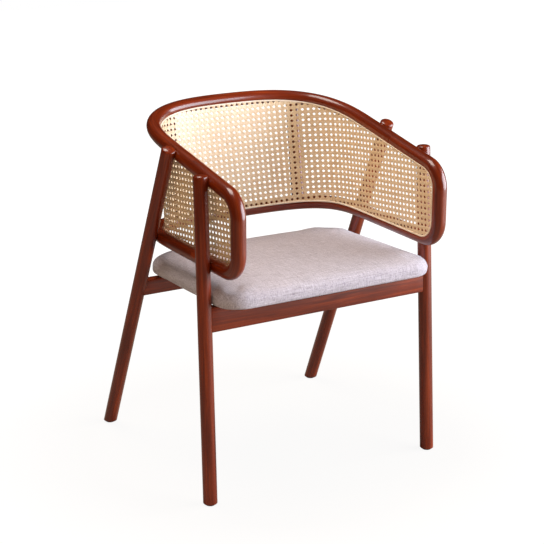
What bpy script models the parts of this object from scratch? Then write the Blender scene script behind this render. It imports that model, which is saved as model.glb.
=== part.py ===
"""A cane back armchair of round rails: a closed hoop of four steamed rails with a woven cane back,
two pairs of round legs outside it, two seat rails and an upholstered seat. Metres, +Z up.
X runs across the chair, Y from its front to its back."""

import math
from collections import namedtuple

import bmesh
import bpy
import numpy as np
from mathutils import Matrix, Vector

# Round stock: the hoop's rails, the legs and the two stiles behind the cane
RAIL_RADIUS = 0.0147
LEG_RADIUS = 0.0142
STILE_RADIUS = 0.0140

# The feet, with Y measured from midway between them, and how far each leg runs from foot to arm
FOOT_SPACING = 0.4766
FRONT_FOOT_Y = -FOOT_SPACING / 2
REAR_FOOT_Y = FOOT_SPACING / 2
FRONT_LEG_RUN = 0.0359
REAR_LEG_RUN = 0.3051
FRONT_LEG_ARM_Y = FRONT_FOOT_Y + FRONT_LEG_RUN
REAR_LEG_ARM_Y = REAR_FOOT_Y - REAR_LEG_RUN

# The seat's height at its front edge, its slope to the back and its padding
SEAT_FRONT_HEIGHT = 0.4056
SEAT_TILT = math.radians(2.21)
CUSHION_THICKNESS = 0.0340
CUSHION_CROWN = 0.0060

# The lower rail lies level, this far above the cushion, and the top rail's middle this far above it
LOWER_RAIL_GAP = 0.0187
BACK_RISE = 0.2310
LOWER_HEIGHT = SEAT_FRONT_HEIGHT + CUSHION_THICKNESS + CUSHION_CROWN + LOWER_RAIL_GAP + RAIL_RADIUS
TOP_HEIGHT = LOWER_HEIGHT + BACK_RISE

# The arms, on the axis of their rails. They toe in to the front and fall to it.
BACK_HALF_WIDTH = 0.2303
ARM_TOE_IN = 0.0034
ARM_REACH = 0.0952
ARM_SLOPE = math.radians(10.45)
ARM_BEND_RADIUS = 0.045
LOWER_BEND_RADIUS = 0.043
ARM_FRONT_HALF_WIDTH = BACK_HALF_WIDTH - ARM_TOE_IN
ARM_FRONT_Y = FRONT_LEG_ARM_Y - ARM_REACH

# Where each rail leaves the straight arms, how far back it sweeps and how squarely it turns
SWEEP_SETBACK = 0.0373
TOP_SWEEP_Y = REAR_LEG_ARM_Y + SWEEP_SETBACK
TOP_SWEEP_DEPTH = 0.1911
TOP_SQUARENESS = 2.84
TOP_CROWN = 0.003
LOWER_SWEEP_LEAD = 0.0105
LOWER_SWEEP_Y = TOP_SWEEP_Y - LOWER_SWEEP_LEAD
LOWER_SWEEP_DEPTH = 0.1590
LOWER_SQUARENESS = 3.6

# The rails are joined in the arms, midway between the legs
RAIL_JOINT_Y = (FRONT_LEG_ARM_Y + REAR_LEG_ARM_Y) / 2

# Pieces that meet keep this clearance, and cutters run this far past what they cut
CLEARANCE = 0.0003
OVERRUN = 0.006
WELD = 0.00001

FLOOR_CUT_SIZE = 8 * LEG_RADIUS
ROUND_SIDES = 16
LEG_SIDES = 20
SMALL_SIDES = 10
SMOOTH_ANGLE = math.radians(35)


# Scene and collections, and the empty that holds the chair's pieces

for old in list(bpy.data.objects):
    bpy.data.objects.remove(old, do_unlink=True)

parts = bpy.data.collections.new("cane_back_chair")
cutters = bpy.data.collections.new("cutters")
for collection in (parts, cutters):
    bpy.context.scene.collection.children.link(collection)

chair_base = bpy.data.objects.new("chair_base", None)
parts.objects.link(chair_base)


def material(name, colour, roughness, metallic=0.0):
    """A Principled material with a plain colour."""
    made = bpy.data.materials.new(name)
    made.use_nodes = True
    shader = made.node_tree.nodes["Principled BSDF"]
    shader.inputs["Base Color"].default_value = (*colour, 1.0)
    shader.inputs["Roughness"].default_value = roughness
    shader.inputs["Metallic"].default_value = metallic
    made.diffuse_color = (*colour, 1.0)
    return made


STAINED_WOOD = material("stained_wood", (0.19, 0.042, 0.016), 0.28)
CANE = material("cane", (0.52, 0.31, 0.13), 0.55)
REED = material("reed", (0.62, 0.45, 0.28), 0.5)
LINEN = material("linen", (0.42, 0.38, 0.37), 0.9)
PLYWOOD = material("plywood", (0.45, 0.31, 0.18), 0.7)
BLACK_CLOTH = material("black_cloth", (0.012, 0.012, 0.013), 0.95)
BEECH = material("beech", (0.50, 0.34, 0.19), 0.6)
STEEL = material("steel", (0.45, 0.45, 0.46), 0.35, 1.0)
NYLON = material("nylon", (0.05, 0.04, 0.035), 0.5)


# General tools: placing objects, turned shapes, tubes, slabs, boxes and cuts


def placed(name, mesh, look, frame=chair_base):
    """An object in the chair, or a hidden cutter where it has no look."""
    made = bpy.data.objects.new(name, mesh)
    made.parent = frame
    if look is None:
        cutters.objects.link(made)
        made.hide_render = True
        made.display_type = "WIRE"
    else:
        parts.objects.link(made)
        mesh.materials.append(look)
        mesh.shade_smooth()
        mesh.set_sharp_from_angle(angle=SMOOTH_ANGLE)
    return made


def as_mesh(curve_object, name, look):
    """The curve as a closed mesh object with the curve's place, in place of the curve."""
    graph = bpy.context.evaluated_depsgraph_get()
    mesh = bpy.data.meshes.new_from_object(curve_object.evaluated_get(graph))
    mesh.name = name
    welded = bmesh.new()
    welded.from_mesh(mesh)
    bmesh.ops.remove_doubles(welded, verts=welded.verts, dist=WELD)
    welded.to_mesh(mesh)
    welded.free()
    made = placed(name, mesh, look, curve_object.parent)
    made.matrix_basis = curve_object.matrix_basis
    bpy.data.objects.remove(curve_object)
    return made


def spline_object(name, points, dimensions, cyclic, frame):
    """A curve object with one straight-segment spline through the points."""
    curve = bpy.data.curves.new(name, "CURVE")
    curve.dimensions = dimensions
    spline = curve.splines.new("POLY")
    spline.points.add(len(points) - 1)
    for station, point in zip(spline.points, points):
        station.co = (*point, 1) if len(point) == 3 else (*point, 0, 1)
    spline.use_cyclic_u = cyclic
    made = bpy.data.objects.new(name + "_line", curve)
    made.parent = frame
    parts.objects.link(made)
    return made


def swept(name, points, profile, look, rotation=(0, 0, 0), location=(0, 0, 0)):
    """The closed profile carried along the points with its Y axis kept upright."""
    section = spline_object(name + "_section", profile, "2D", True, None)
    line = spline_object(name, points, "3D", False, chair_base)
    line.data.twist_mode = "Z_UP"
    line.data.bevel_mode = "OBJECT"
    line.data.bevel_object = section
    line.data.use_fill_caps = True
    line.rotation_euler = rotation
    line.location = location
    made = as_mesh(line, name, look)
    bpy.data.objects.remove(section)
    return made


def turned(name, profile, look, sides, frame=chair_base):
    """A profile of (radius, height) points, from top to bottom, turned about Z."""
    mesh = bpy.data.meshes.new(name)
    edges = [(i, i + 1) for i in range(len(profile) - 1)]
    mesh.from_pydata([(radius, 0, height) for radius, height in profile], edges, [])
    made = placed(name, mesh, look, frame)
    screw = made.modifiers.new("Turned", "SCREW")
    screw.steps = sides
    screw.render_steps = sides
    screw.use_merge_vertices = True
    screw.merge_threshold = WELD
    screw.use_smooth_shade = True
    return made


def rod(name, start, end, radius, look, sides=SMALL_SIDES, frame=chair_base):
    """A cylinder from one point to another."""
    start, end = Vector(start), Vector(end)
    body = bmesh.new()
    bmesh.ops.create_cone(
        body, cap_ends=True, segments=sides, radius1=radius, radius2=radius, depth=(end - start).length
    )
    mesh = bpy.data.meshes.new(name)
    body.to_mesh(mesh)
    body.free()
    made = placed(name, mesh, look, frame)
    made.location = (start + end) / 2
    made.rotation_euler = (end - start).to_track_quat("Z", "Y").to_euler()
    return made


def box(name, low, high, look, frame=chair_base):
    """A box between two corners."""
    low, high = Vector(low), Vector(high)
    body = bmesh.new()
    bmesh.ops.create_cube(body, size=1)
    bmesh.ops.scale(body, vec=high - low, verts=body.verts)
    mesh = bpy.data.meshes.new(name)
    body.to_mesh(mesh)
    body.free()
    made = placed(name, mesh, look, frame)
    made.location = (low + high) / 2
    return made


def slab(name, outline, low, high, look, frame):
    """A flat outline filled between two heights."""
    flat = spline_object(name, outline, "2D", True, frame)
    flat.data.fill_mode = "BOTH"
    flat.data.extrude = (high - low) / 2
    flat.location.z = (low + high) / 2
    return as_mesh(flat, name, look)


def cut(piece, *tools):
    """Takes each cutter out of the piece."""
    for tool in tools:
        boolean = piece.modifiers.new("Cut " + tool.name, "BOOLEAN")
        boolean.operation = "DIFFERENCE"
        boolean.solver = "EXACT"
        boolean.object = tool


def dowel(name, start, end, hosts, frame=chair_base):
    """A dowel between two points, in a bore through each of its hosts."""
    start, end = Vector(start), Vector(end)
    along = (end - start).normalized() * CLEARANCE
    rod(name, start, end, DOWEL_RADIUS, BEECH, frame=frame)
    bore = rod(name + "_bore", start - along, end + along, DOWEL_RADIUS + CLEARANCE, None, frame=frame)
    for host in hosts:
        cut(host, bore)


def side_name(side):
    return "right" if side > 0 else "left"


# The hoop's lines. An arm is straight in plan from its front to where the sweep begins.

Sweep = namedtuple("Sweep", "start_y depth squareness")
TOP = Sweep(TOP_SWEEP_Y, TOP_SWEEP_DEPTH, TOP_SQUARENESS)
LOWER = Sweep(LOWER_SWEEP_Y, LOWER_SWEEP_DEPTH, LOWER_SQUARENESS)
TOE = math.atan2(BACK_HALF_WIDTH - ARM_FRONT_HALF_WIDTH, TOP_SWEEP_Y - ARM_FRONT_Y)
ARM_RISE = math.tan(ARM_SLOPE)
TOP_BACK_Y = TOP_SWEEP_Y + TOP_SWEEP_DEPTH
STATION_STEP = 0.0175
SWEEP_LENGTH_SHARE = 0.85
FINE_COUNT = 600
BEND_STEPS = 8


def arm_half_width(y):
    return ARM_FRONT_HALF_WIDTH + (y - ARM_FRONT_Y) * math.tan(TOE)


def rail_half_width(sweep, y):
    """Half the width between the rail's two sides, at a distance from front to back."""
    if y <= sweep.start_y:
        return arm_half_width(y)
    share = (y - sweep.start_y) / sweep.depth
    return arm_half_width(sweep.start_y) * (1 - share**sweep.squareness) ** (1 / sweep.squareness)


def arm_height(y):
    """The height of the top rail's axis where it is straight."""
    return TOP_HEIGHT + (y - TOP_BACK_Y) * ARM_RISE


def rail_height(sweep, x, y):
    if sweep is LOWER:
        return LOWER_HEIGHT
    crown = TOP_CROWN * (1 - (x / arm_half_width(sweep.start_y)) ** 2) if y > sweep.start_y else 0
    return arm_height(y) + crown


def inset_height(sweep, x, y, slope_share, inset):
    """The height of a line that lies this far from the rail's axis, towards the cane's middle. The
    share of the arm's slope that the rail has there widens the step."""
    if sweep is LOWER:
        return LOWER_HEIGHT + inset
    return rail_height(TOP, x, y) - inset * math.hypot(1, ARM_RISE * slope_share)


def sweep_points(sweep, count):
    """Points at even steps round the right half of the sweep, and the inward normal at each."""
    half = arm_half_width(sweep.start_y)
    turn = np.linspace(0, math.pi / 2, FINE_COUNT)
    x = half * np.clip(np.cos(turn), 0, 1) ** (2 / sweep.squareness)
    y = sweep.start_y + sweep.depth * np.sin(turn) ** (2 / sweep.squareness)
    x[-1] = 0
    length = np.concatenate([[0], np.cumsum(np.hypot(np.diff(x), np.diff(y)))])
    even = np.linspace(0, length[-1], count + 1)
    x, y = np.interp(even, length, x), np.interp(even, length, y)
    power = sweep.squareness - 1
    across = (x / half) ** power / half
    back = ((y - sweep.start_y) / sweep.depth).clip(0) ** power / sweep.depth
    normals = -np.stack([across, back], axis=1) / np.hypot(across, back)[:, None]
    return [((float(a), float(b)), (float(c), float(d))) for a, b, (c, d) in zip(x, y, normals)]


def sweep_steps(sweep):
    return round((arm_half_width(sweep.start_y) + sweep.depth) * SWEEP_LENGTH_SHARE / STATION_STEP)


ARM_NORMAL = (-math.cos(TOE), math.sin(TOE))


def joint(sweep, side):
    """The middle of the joint in an arm or in the lower rail, and its direction to the back."""
    slope = ARM_RISE if sweep is TOP else 0
    middle = Vector((arm_half_width(RAIL_JOINT_Y), RAIL_JOINT_Y, 0))
    middle.z = rail_height(sweep, middle.x, RAIL_JOINT_Y)
    along = Vector((math.sin(TOE), math.cos(TOE), slope * math.cos(TOE))).normalized()
    return Vector((side * middle.x, *middle.yz)), Vector((side * along.x, *along.yz))


def back_rail_line(sweep, inward=0.0, inset=0.0):
    """The rail from its left joint, round the back, to its right joint, or a line beside it that is
    moved into the hoop and towards the cane's middle."""
    middle, along = joint(sweep, 1)
    start = middle + along * CLEARANCE / 2
    start.z += inset_height(sweep, middle.x, middle.y, ARM_NORMAL[0], inset) - middle.z
    right = [tuple(start + Vector((*ARM_NORMAL, 0)) * inward)]
    for (x, y), (across, back) in sweep_points(sweep, sweep_steps(sweep)):
        height = inset_height(sweep, x, y, across, inset)
        right.append((x + across * inward, y + back * inward, height))
    left = [(-x, y, z) for x, y, z in right[:-1]]
    return left + right[::-1]


def bend_line(inset=0.0):
    """The front bend in its upright plane, from the arm's joint down to the lower rail's joint.
    Each point is (distance back from the front, height). The inset moves it into the hoop."""
    rise = ARM_RISE * math.cos(TOE)
    front_height = arm_height(ARM_FRONT_Y)
    top_centre_z = front_height + rise * ARM_BEND_RADIUS - ARM_BEND_RADIUS * math.hypot(1, rise)
    low_centre_z = LOWER_HEIGHT + LOWER_BEND_RADIUS
    joint_back = (RAIL_JOINT_Y - ARM_FRONT_Y) / math.cos(TOE)
    line = [(joint_back, front_height + rise * joint_back - inset * math.hypot(1, rise))]
    top_start = math.pi / 2 + math.atan(rise)
    for step in range(BEND_STEPS + 1):
        turn = top_start + (math.pi - top_start) * step / BEND_STEPS
        reach = ARM_BEND_RADIUS - inset
        line.append((ARM_BEND_RADIUS + reach * math.cos(turn), top_centre_z + reach * math.sin(turn)))
    for step in range(BEND_STEPS + 1):
        turn = math.pi + math.pi / 2 * step / BEND_STEPS
        reach = LOWER_BEND_RADIUS - inset
        line.append((LOWER_BEND_RADIUS + reach * math.cos(turn), low_centre_z + reach * math.sin(turn)))
    line.append((joint_back, LOWER_HEIGHT + inset))
    return line


def on_side(side, back, height, inward=0.0):
    """A point of the arm's upright plane in the chair's frame."""
    x = ARM_FRONT_HALF_WIDTH + back * math.sin(TOE) + ARM_NORMAL[0] * inward
    y = ARM_FRONT_Y + back * math.cos(TOE) + ARM_NORMAL[1] * inward
    return (side * x, y, height)


# The cane's seat in the rails: a groove on their inner side, turned towards the cane's middle, and
# the reed that is driven into it

REED_RADIUS = 0.0021
REED_REACH = RAIL_RADIUS - 0.0005
GROOVE_TURN = math.radians(24.5)
REED_INWARD = REED_REACH * math.cos(GROOVE_TURN)
REED_INSET = REED_REACH * math.sin(GROOVE_TURN)
GROOVE_HALF_WIDTH = REED_RADIUS + CLEARANCE
GROOVE_FLOOR = REED_REACH - REED_RADIUS - CLEARANCE


def round_profile(radius, facing=0.0, grooved=False):
    """A round section, listed clockwise, with the groove on the side that it faces."""
    opening = math.asin(GROOVE_HALF_WIDTH / RAIL_RADIUS)
    arc = 2 * (math.pi - opening)
    turns = [-opening - arc * step / ROUND_SIDES for step in range(ROUND_SIDES + 1)]
    points = [Vector((math.cos(turn), math.sin(turn))) * radius for turn in turns]
    if grooved:
        points += [Vector((GROOVE_FLOOR, GROOVE_HALF_WIDTH)), Vector((GROOVE_FLOOR, -GROOVE_HALF_WIDTH))]
    return [tuple(Matrix.Rotation(facing, 2) @ point) for point in points]


def bend_ends_moved(line, distance):
    """The bend's line with both ends drawn back from the joints."""
    moved = [Vector(point) for point in line]
    for end, neighbour in ((0, 1), (-1, -2)):
        moved[end] += (moved[neighbour] - moved[end]).normalized() * distance
    return [tuple(point) for point in moved]


def back_rail(name, sweep):
    """One of the two rails that run round the back, and the cutter that copes other pieces to it."""
    line = back_rail_line(sweep)
    facing = -GROOVE_TURN if sweep is TOP else GROOVE_TURN
    rail = swept(name, line, round_profile(RAIL_RADIUS, facing, True), STAINED_WOOD)
    tool = swept(name + "_cope", line, round_profile(RAIL_RADIUS + CLEARANCE), None)
    return rail, tool


def front_bend(side):
    """The bend that closes the hoop in front of the arm, and its coping cutter."""
    name = "front_bend_" + side_name(side)
    flat = bend_ends_moved(bend_line(), CLEARANCE / 2)
    points = [(back, height, 0) for back, height in flat]
    turn = (math.pi / 2, 0, math.pi / 2 - side * TOE)
    place = (side * ARM_FRONT_HALF_WIDTH, ARM_FRONT_Y, 0)
    facing = -side * (math.pi / 2 + GROOVE_TURN)
    rail = swept(name, points, round_profile(RAIL_RADIUS, facing, True), STAINED_WOOD, turn, place)
    tool_profile = round_profile(RAIL_RADIUS + CLEARANCE, facing)
    return rail, swept(name + "_cope", points, tool_profile, None, turn, place)


back_top_rail, top_cope = back_rail("back_top_rail", TOP)
back_bottom_rail, bottom_cope = back_rail("back_bottom_rail", LOWER)
bends = {side: front_bend(side) for side in (-1, 1)}


# Dowels that join the hoop's four rails

DOWEL_RADIUS = 0.0040
RAIL_DOWEL_LENGTH = 0.030

for side in (-1, 1):
    for sweep, rail, place in ((TOP, back_top_rail, "arm"), (LOWER, back_bottom_rail, "lower_rail")):
        middle, along = joint(sweep, side)
        reach = along * RAIL_DOWEL_LENGTH / 2
        hosts = (rail, bends[side][0])
        dowel(f"{place}_dowel_{side_name(side)}", middle - reach, middle + reach, hosts)


# Stiles behind the cane, set back to stay clear of it, coped to the rails above and below and held
# by a dowel at each end

STILE_SPREAD_SHARE = 0.651
STILE_X = BACK_HALF_WIDTH * STILE_SPREAD_SHARE
STILE_DOWEL_LENGTH = 0.026
STILE_SETBACK = 0.0030


def rail_back_y(sweep, x):
    """Where the rail's axis lies at a distance from the middle of the back."""
    share = x / arm_half_width(sweep.start_y)
    return sweep.start_y + sweep.depth * (1 - share**sweep.squareness) ** (1 / sweep.squareness)


for side in (-1, 1):
    low_y, top_y = rail_back_y(LOWER, STILE_X), rail_back_y(TOP, STILE_X)
    foot = Vector((side * STILE_X, low_y + STILE_SETBACK, LOWER_HEIGHT))
    head = Vector((side * STILE_X, top_y + STILE_SETBACK, rail_height(TOP, STILE_X, top_y)))
    stile = rod(f"back_stile_{side_name(side)}", foot, head, STILE_RADIUS, STAINED_WOOD, ROUND_SIDES)
    cut(stile, top_cope, bottom_cope)
    up = (head - foot).normalized()
    for end, inner, rail, place in ((foot, up, back_bottom_rail, "lower"), (head, -up, back_top_rail, "upper")):
        dowel(
            f"stile_dowel_{place}_{side_name(side)}",
            end,
            end + inner * STILE_DOWEL_LENGTH,
            (stile, rail),
        )


# Legs, outside the hoop. Each is notched a little where it crosses the upper and the lower rail,
# and the depth of the two notches sets how it stands.

LEG_DOME = 0.0055
DOME_STEPS = 4
GLIDE_RADIUS = 0.0095
GLIDE_THICKNESS = 0.0025
FRONT_NOTCHES = (0.0028, 0.0008)
REAR_NOTCHES = (0.0043, 0.0004)
DOWEL_END_SHARE = 0.35

Leg = namedtuple("Leg", "side foot along upper lower upper_rail_x lower_rail_x")


def leg_line(side, foot_y, arm_y, notches):
    """The axis of a leg: where it meets the floor, its direction and its two crossings."""
    upper_z = rail_height(TOP, rail_half_width(TOP, arm_y), arm_y)
    crossings, rails = [], []
    for sweep, z, notch in ((TOP, upper_z, notches[0]), (LOWER, LOWER_HEIGHT, notches[1])):
        y = foot_y + (arm_y - foot_y) * z / upper_z
        rail_x = rail_half_width(sweep, y)
        rails.append(side * rail_x)
        crossings.append(Vector((side * (rail_x + RAIL_RADIUS + LEG_RADIUS - notch), y, z)))
    upper, lower = crossings
    along = (upper - lower).normalized()
    foot = lower - along * (lower.z / along.z)
    return Leg(side, foot, along, upper, lower, *rails)


def leg_at(leg, height):
    return leg.foot + leg.along * (height / leg.along.z)


def leg_profile(radius, top, bottom, dome):
    """A plain round leg with a low domed top."""
    turns = [math.pi / 2 * (1 - step / DOME_STEPS) for step in range(DOME_STEPS + 1)]
    line = [(radius * math.cos(turn), top - dome + dome * math.sin(turn)) for turn in turns]
    line[0] = (0, top)
    return line + [(radius, bottom), (0, bottom)]


def leg(name, line):
    """A leg cut level at its foot, and the cutter that copes the seat rail to it."""
    top = (line.upper.z + RAIL_RADIUS) / line.along.z
    made = []
    for suffix, look, extra in (("", STAINED_WOOD, 0), ("_cope", None, CLEARANCE)):
        profile = leg_profile(LEG_RADIUS + extra, top + extra, -LEG_RADIUS, LEG_DOME)
        turned_leg = turned(name + suffix, profile, look, LEG_SIDES)
        turned_leg.location = line.foot
        turned_leg.rotation_euler = line.along.to_track_quat("Z", "Y").to_euler()
        made.append(turned_leg)
    foot = line.foot
    floor_cut = box(
        name + "_floor_cut",
        (foot.x - FLOOR_CUT_SIZE / 2, foot.y - FLOOR_CUT_SIZE / 2, -FLOOR_CUT_SIZE),
        (foot.x + FLOOR_CUT_SIZE / 2, foot.y + FLOOR_CUT_SIZE / 2, GLIDE_THICKNESS + CLEARANCE),
        None,
    )
    cut(made[0], floor_cut, top_cope, bottom_cope, bends[line.side][1])
    return made


def leg_dowels(name, line, leg_object, rails):
    """A dowel through each crossing, from the leg into the rail."""
    crossings = ((line.upper, line.upper_rail_x, "upper"), (line.lower, line.lower_rail_x, "lower"))
    for (crossing, rail_x, place), rail in zip(crossings, rails):
        outer = crossing + Vector((line.side * LEG_RADIUS * DOWEL_END_SHARE, 0, 0))
        inner = Vector((rail_x - line.side * RAIL_RADIUS * DOWEL_END_SHARE, *crossing.yz))
        dowel(f"{name}_dowel_{place}", outer, inner, (leg_object, rail))


legs = {}
for side in (-1, 1):
    for end, foot_y, arm_y, notches in (
        ("front", FRONT_FOOT_Y, FRONT_LEG_ARM_Y, FRONT_NOTCHES),
        ("rear", REAR_FOOT_Y, REAR_LEG_ARM_Y, REAR_NOTCHES),
    ):
        name = f"leg_{end}_{side_name(side)}"
        line = leg_line(side, foot_y, arm_y, notches)
        body, cope = leg(name, line)
        bend = bends[side][0]
        rails = (bend, bend) if end == "front" else (back_top_rail, back_bottom_rail)
        leg_dowels(name, line, body, rails)
        legs[end, side] = (line, body, cope)
        glide_top = leg_at(line, GLIDE_THICKNESS)
        glide_low = Vector((*glide_top.xy, 0))
        rod(f"foot_glide_{end}_{side_name(side)}", glide_low, glide_top, GLIDE_RADIUS, NYLON, LEG_SIDES)


# The cane: a thin sheet against the inner side of the rails, and the reed round its edge

CANE_THICKNESS = 0.0014
CANE_CLEARANCE = 0.0007
CANE_INSET = REED_INSET + REED_RADIUS + CLEARANCE
CANE_INWARD = math.sqrt(RAIL_RADIUS**2 - CANE_INSET**2) + CANE_CLEARANCE + CANE_THICKNESS / 2
ARM_COLUMNS = 12

# The open weave is shown by a plain grid of openings in two rows. Each is three of the sheet's
# columns wide, with two between it and the next, counted from the middle of the back.
ROW_SHARES = (0, 0.16, 0.42, 0.58, 0.84, 1)
OPEN_ROWS = (1, 3)
OPENING_COLUMNS = 3
BAR_COLUMNS = 2
OPENINGS_EACH_SIDE = 6


def bend_heights(back):
    """The lower and upper edge of the sheet at a distance behind the hoop's front."""
    rise = ARM_RISE * math.cos(TOE)
    edge = bend_line(CANE_INSET)
    reach = ARM_BEND_RADIUS - CANE_INSET
    top_centre_z = edge[BEND_STEPS + 1][1]
    straight_top = edge[0][1] + (back - edge[0][0]) * rise
    tangent_back = edge[1][0]
    high = straight_top
    if back < tangent_back:
        high = top_centre_z + math.sqrt(max(reach**2 - (back - ARM_BEND_RADIUS) ** 2, 0))
    reach = LOWER_BEND_RADIUS - CANE_INSET
    low = LOWER_HEIGHT + CANE_INSET
    if back < LOWER_BEND_RADIUS:
        low = LOWER_HEIGHT + LOWER_BEND_RADIUS - math.sqrt(max(reach**2 - (back - LOWER_BEND_RADIUS) ** 2, 0))
    return low, high


def cane_columns():
    """Each column of the sheet from the right front round to the middle, as (low, high) points."""
    columns = []
    reach = ARM_BEND_RADIUS - CANE_INSET
    turns = [math.pi / 2 * step / BEND_STEPS for step in range(BEND_STEPS + 1)]
    bend_backs = [ARM_BEND_RADIUS - reach * math.cos(turn) for turn in turns]
    sweep_back = (LOWER.start_y - ARM_FRONT_Y) / math.cos(TOE)
    straight = sweep_back - bend_backs[-1]
    backs = bend_backs + [bend_backs[-1] + straight * step / ARM_COLUMNS for step in range(1, ARM_COLUMNS)]
    for back in backs:
        low, high = bend_heights(back)
        columns.append((on_side(1, back, low, CANE_INWARD), on_side(1, back, high, CANE_INWARD)))
    count = sweep_steps(TOP)
    for (x, y), (across, behind) in sweep_points(LOWER, count):
        height = inset_height(LOWER, x, y, across, CANE_INSET)
        columns.append([(x + across * CANE_INWARD, y + behind * CANE_INWARD, height)])
    for column, ((x, y), (across, behind)) in zip(columns[-count - 1 :], sweep_points(TOP, count)):
        height = inset_height(TOP, x, y, across, CANE_INSET)
        column.append((x + across * CANE_INWARD, y + behind * CANE_INWARD, height))
    return columns


def is_open(column, row):
    """Whether a face of the sheet is cut away, with columns counted from the middle of the back."""
    opening, place = divmod(column - BAR_COLUMNS // 2, OPENING_COLUMNS + BAR_COLUMNS)
    return row in OPEN_ROWS and 0 <= opening < OPENINGS_EACH_SIDE and place < OPENING_COLUMNS


def cane_panel():
    """The sheet is a grid whose columns stand between the lower and the upper rail."""
    right = cane_columns()
    mirrored = [[(-x, y, z) for x, y, z in column] for column in right[:-1]]
    columns = mirrored + right[::-1]
    width, rows = len(columns) - 1, len(ROW_SHARES) - 1
    sheet = bmesh.new()
    bmesh.ops.create_grid(sheet, x_segments=width, y_segments=rows, size=1)
    cut_away = []
    for face in sheet.faces:
        middle = face.calc_center_median()
        column, row = (math.floor((part + 1) / 2 * count) for part, count in zip(middle, (width, rows)))
        if is_open(max(column - width // 2, width // 2 - 1 - column), row):
            cut_away.append(face)
    bmesh.ops.delete(sheet, geom=cut_away, context="FACES")
    for vertex in sheet.verts:
        low, high = columns[round((vertex.co.x + 1) / 2 * width)]
        share = ROW_SHARES[round((vertex.co.y + 1) / 2 * rows)]
        vertex.co = Vector(low).lerp(Vector(high), share)
    mesh = bpy.data.meshes.new("cane_panel")
    sheet.to_mesh(mesh)
    sheet.free()
    panel = placed("cane_panel", mesh, CANE)
    solid = panel.modifiers.new("Thickness", "SOLIDIFY")
    solid.thickness = CANE_THICKNESS
    solid.offset = 0
    return panel


cane_panel()


def reed_loop():
    """The reed's line, once round the hoop through both rails and both front bends."""
    top, low = (back_rail_line(sweep, REED_INWARD, REED_INSET) for sweep in (TOP, LOWER))
    bend = bend_line(REED_INSET)[1:-1]
    right, left = ([on_side(side, back, height, REED_INWARD) for back, height in bend] for side in (1, -1))
    return top[1:-1] + right + low[1:-1][::-1] + left[::-1]


reed_line = spline_object("cane_spline", reed_loop(), "3D", True, chair_base)
reed_line.data.bevel_depth = REED_RADIUS
reed_line.data.bevel_resolution = 1
as_mesh(reed_line, "cane_spline", REED)


# Seat rails, the batten on the rear one, and the upholstered seat, in the seat's own tilted frame

FRONT_RAIL_HEIGHT = 0.0500
FRONT_RAIL_THICKNESS = 0.0200
REAR_RAIL_DROP = 0.0157
REAR_RAIL_HEIGHT = 0.0330
REAR_RAIL_THICKNESS = 0.0210
BATTEN_INSET = 0.088
BATTEN_THICKNESS = 0.0180
RAIL_END_SHARE = 0.35
SEAT_RAIL_DOWEL_LENGTH = 0.036
FRONT_DOWEL_SPREAD = 0.0120
REAR_DOWEL_SPREAD = 0.0080

COVER_THICKNESS = 0.0008
COVER_INSET = 0.0145
BOARD_THICKNESS = 0.0120
BOARD_INSET = 0.0165
COVER_TOP = -CLEARANCE
COVER_BOTTOM = COVER_TOP - COVER_THICKNESS
RAIL_TOP = COVER_BOTTOM - CLEARANCE


# The seat's plan, a rounded trapezoid: it overhangs the front feet and the rear legs, and its sides
# just clear the front legs
SEAT_FRONT_OVERHANG = 0.0450
SEAT_REAR_OVERHANG = 0.0320
SEAT_LEG_CLEARANCE = 0.0008
SEAT_TAPER = 0.0043
SEAT_FRONT_CORNER = 0.052
SEAT_REAR_CORNER = 0.066
SEAT_FRONT_Y = FRONT_FOOT_Y - SEAT_FRONT_OVERHANG
REAR_RAIL_MIDDLE = SEAT_FRONT_HEIGHT - REAR_RAIL_DROP - REAR_RAIL_HEIGHT / 2
SEAT_REAR_Y = leg_at(legs["rear", 1][0], REAR_RAIL_MIDDLE).y + SEAT_REAR_OVERHANG
SEAT_DEPTH = (SEAT_REAR_Y - SEAT_FRONT_Y) / math.cos(SEAT_TILT)
FRONT_LEG_BESIDE = leg_at(legs["front", 1][0], SEAT_FRONT_HEIGHT + CUSHION_THICKNESS / 2)
LEG_DEPTH_SHARE = (FRONT_LEG_BESIDE.y - SEAT_FRONT_Y) / SEAT_DEPTH
SEAT_FRONT_HALF_WIDTH = (
    FRONT_LEG_BESIDE.x - LEG_RADIUS - SEAT_LEG_CLEARANCE + SEAT_TAPER * LEG_DEPTH_SHARE
)
SEAT_REAR_HALF_WIDTH = SEAT_FRONT_HALF_WIDTH - SEAT_TAPER

seat_frame = bpy.data.objects.new("seat_frame", None)
seat_frame.parent = chair_base
seat_frame.location = (0, SEAT_FRONT_Y, SEAT_FRONT_HEIGHT)
seat_frame.rotation_euler.x = -SEAT_TILT
parts.objects.link(seat_frame)
SEAT_MATRIX = Matrix.Translation(seat_frame.location) @ Matrix.Rotation(-SEAT_TILT, 4, "X")


def in_seat(point):
    return SEAT_MATRIX.inverted() @ Vector(point)


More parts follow.
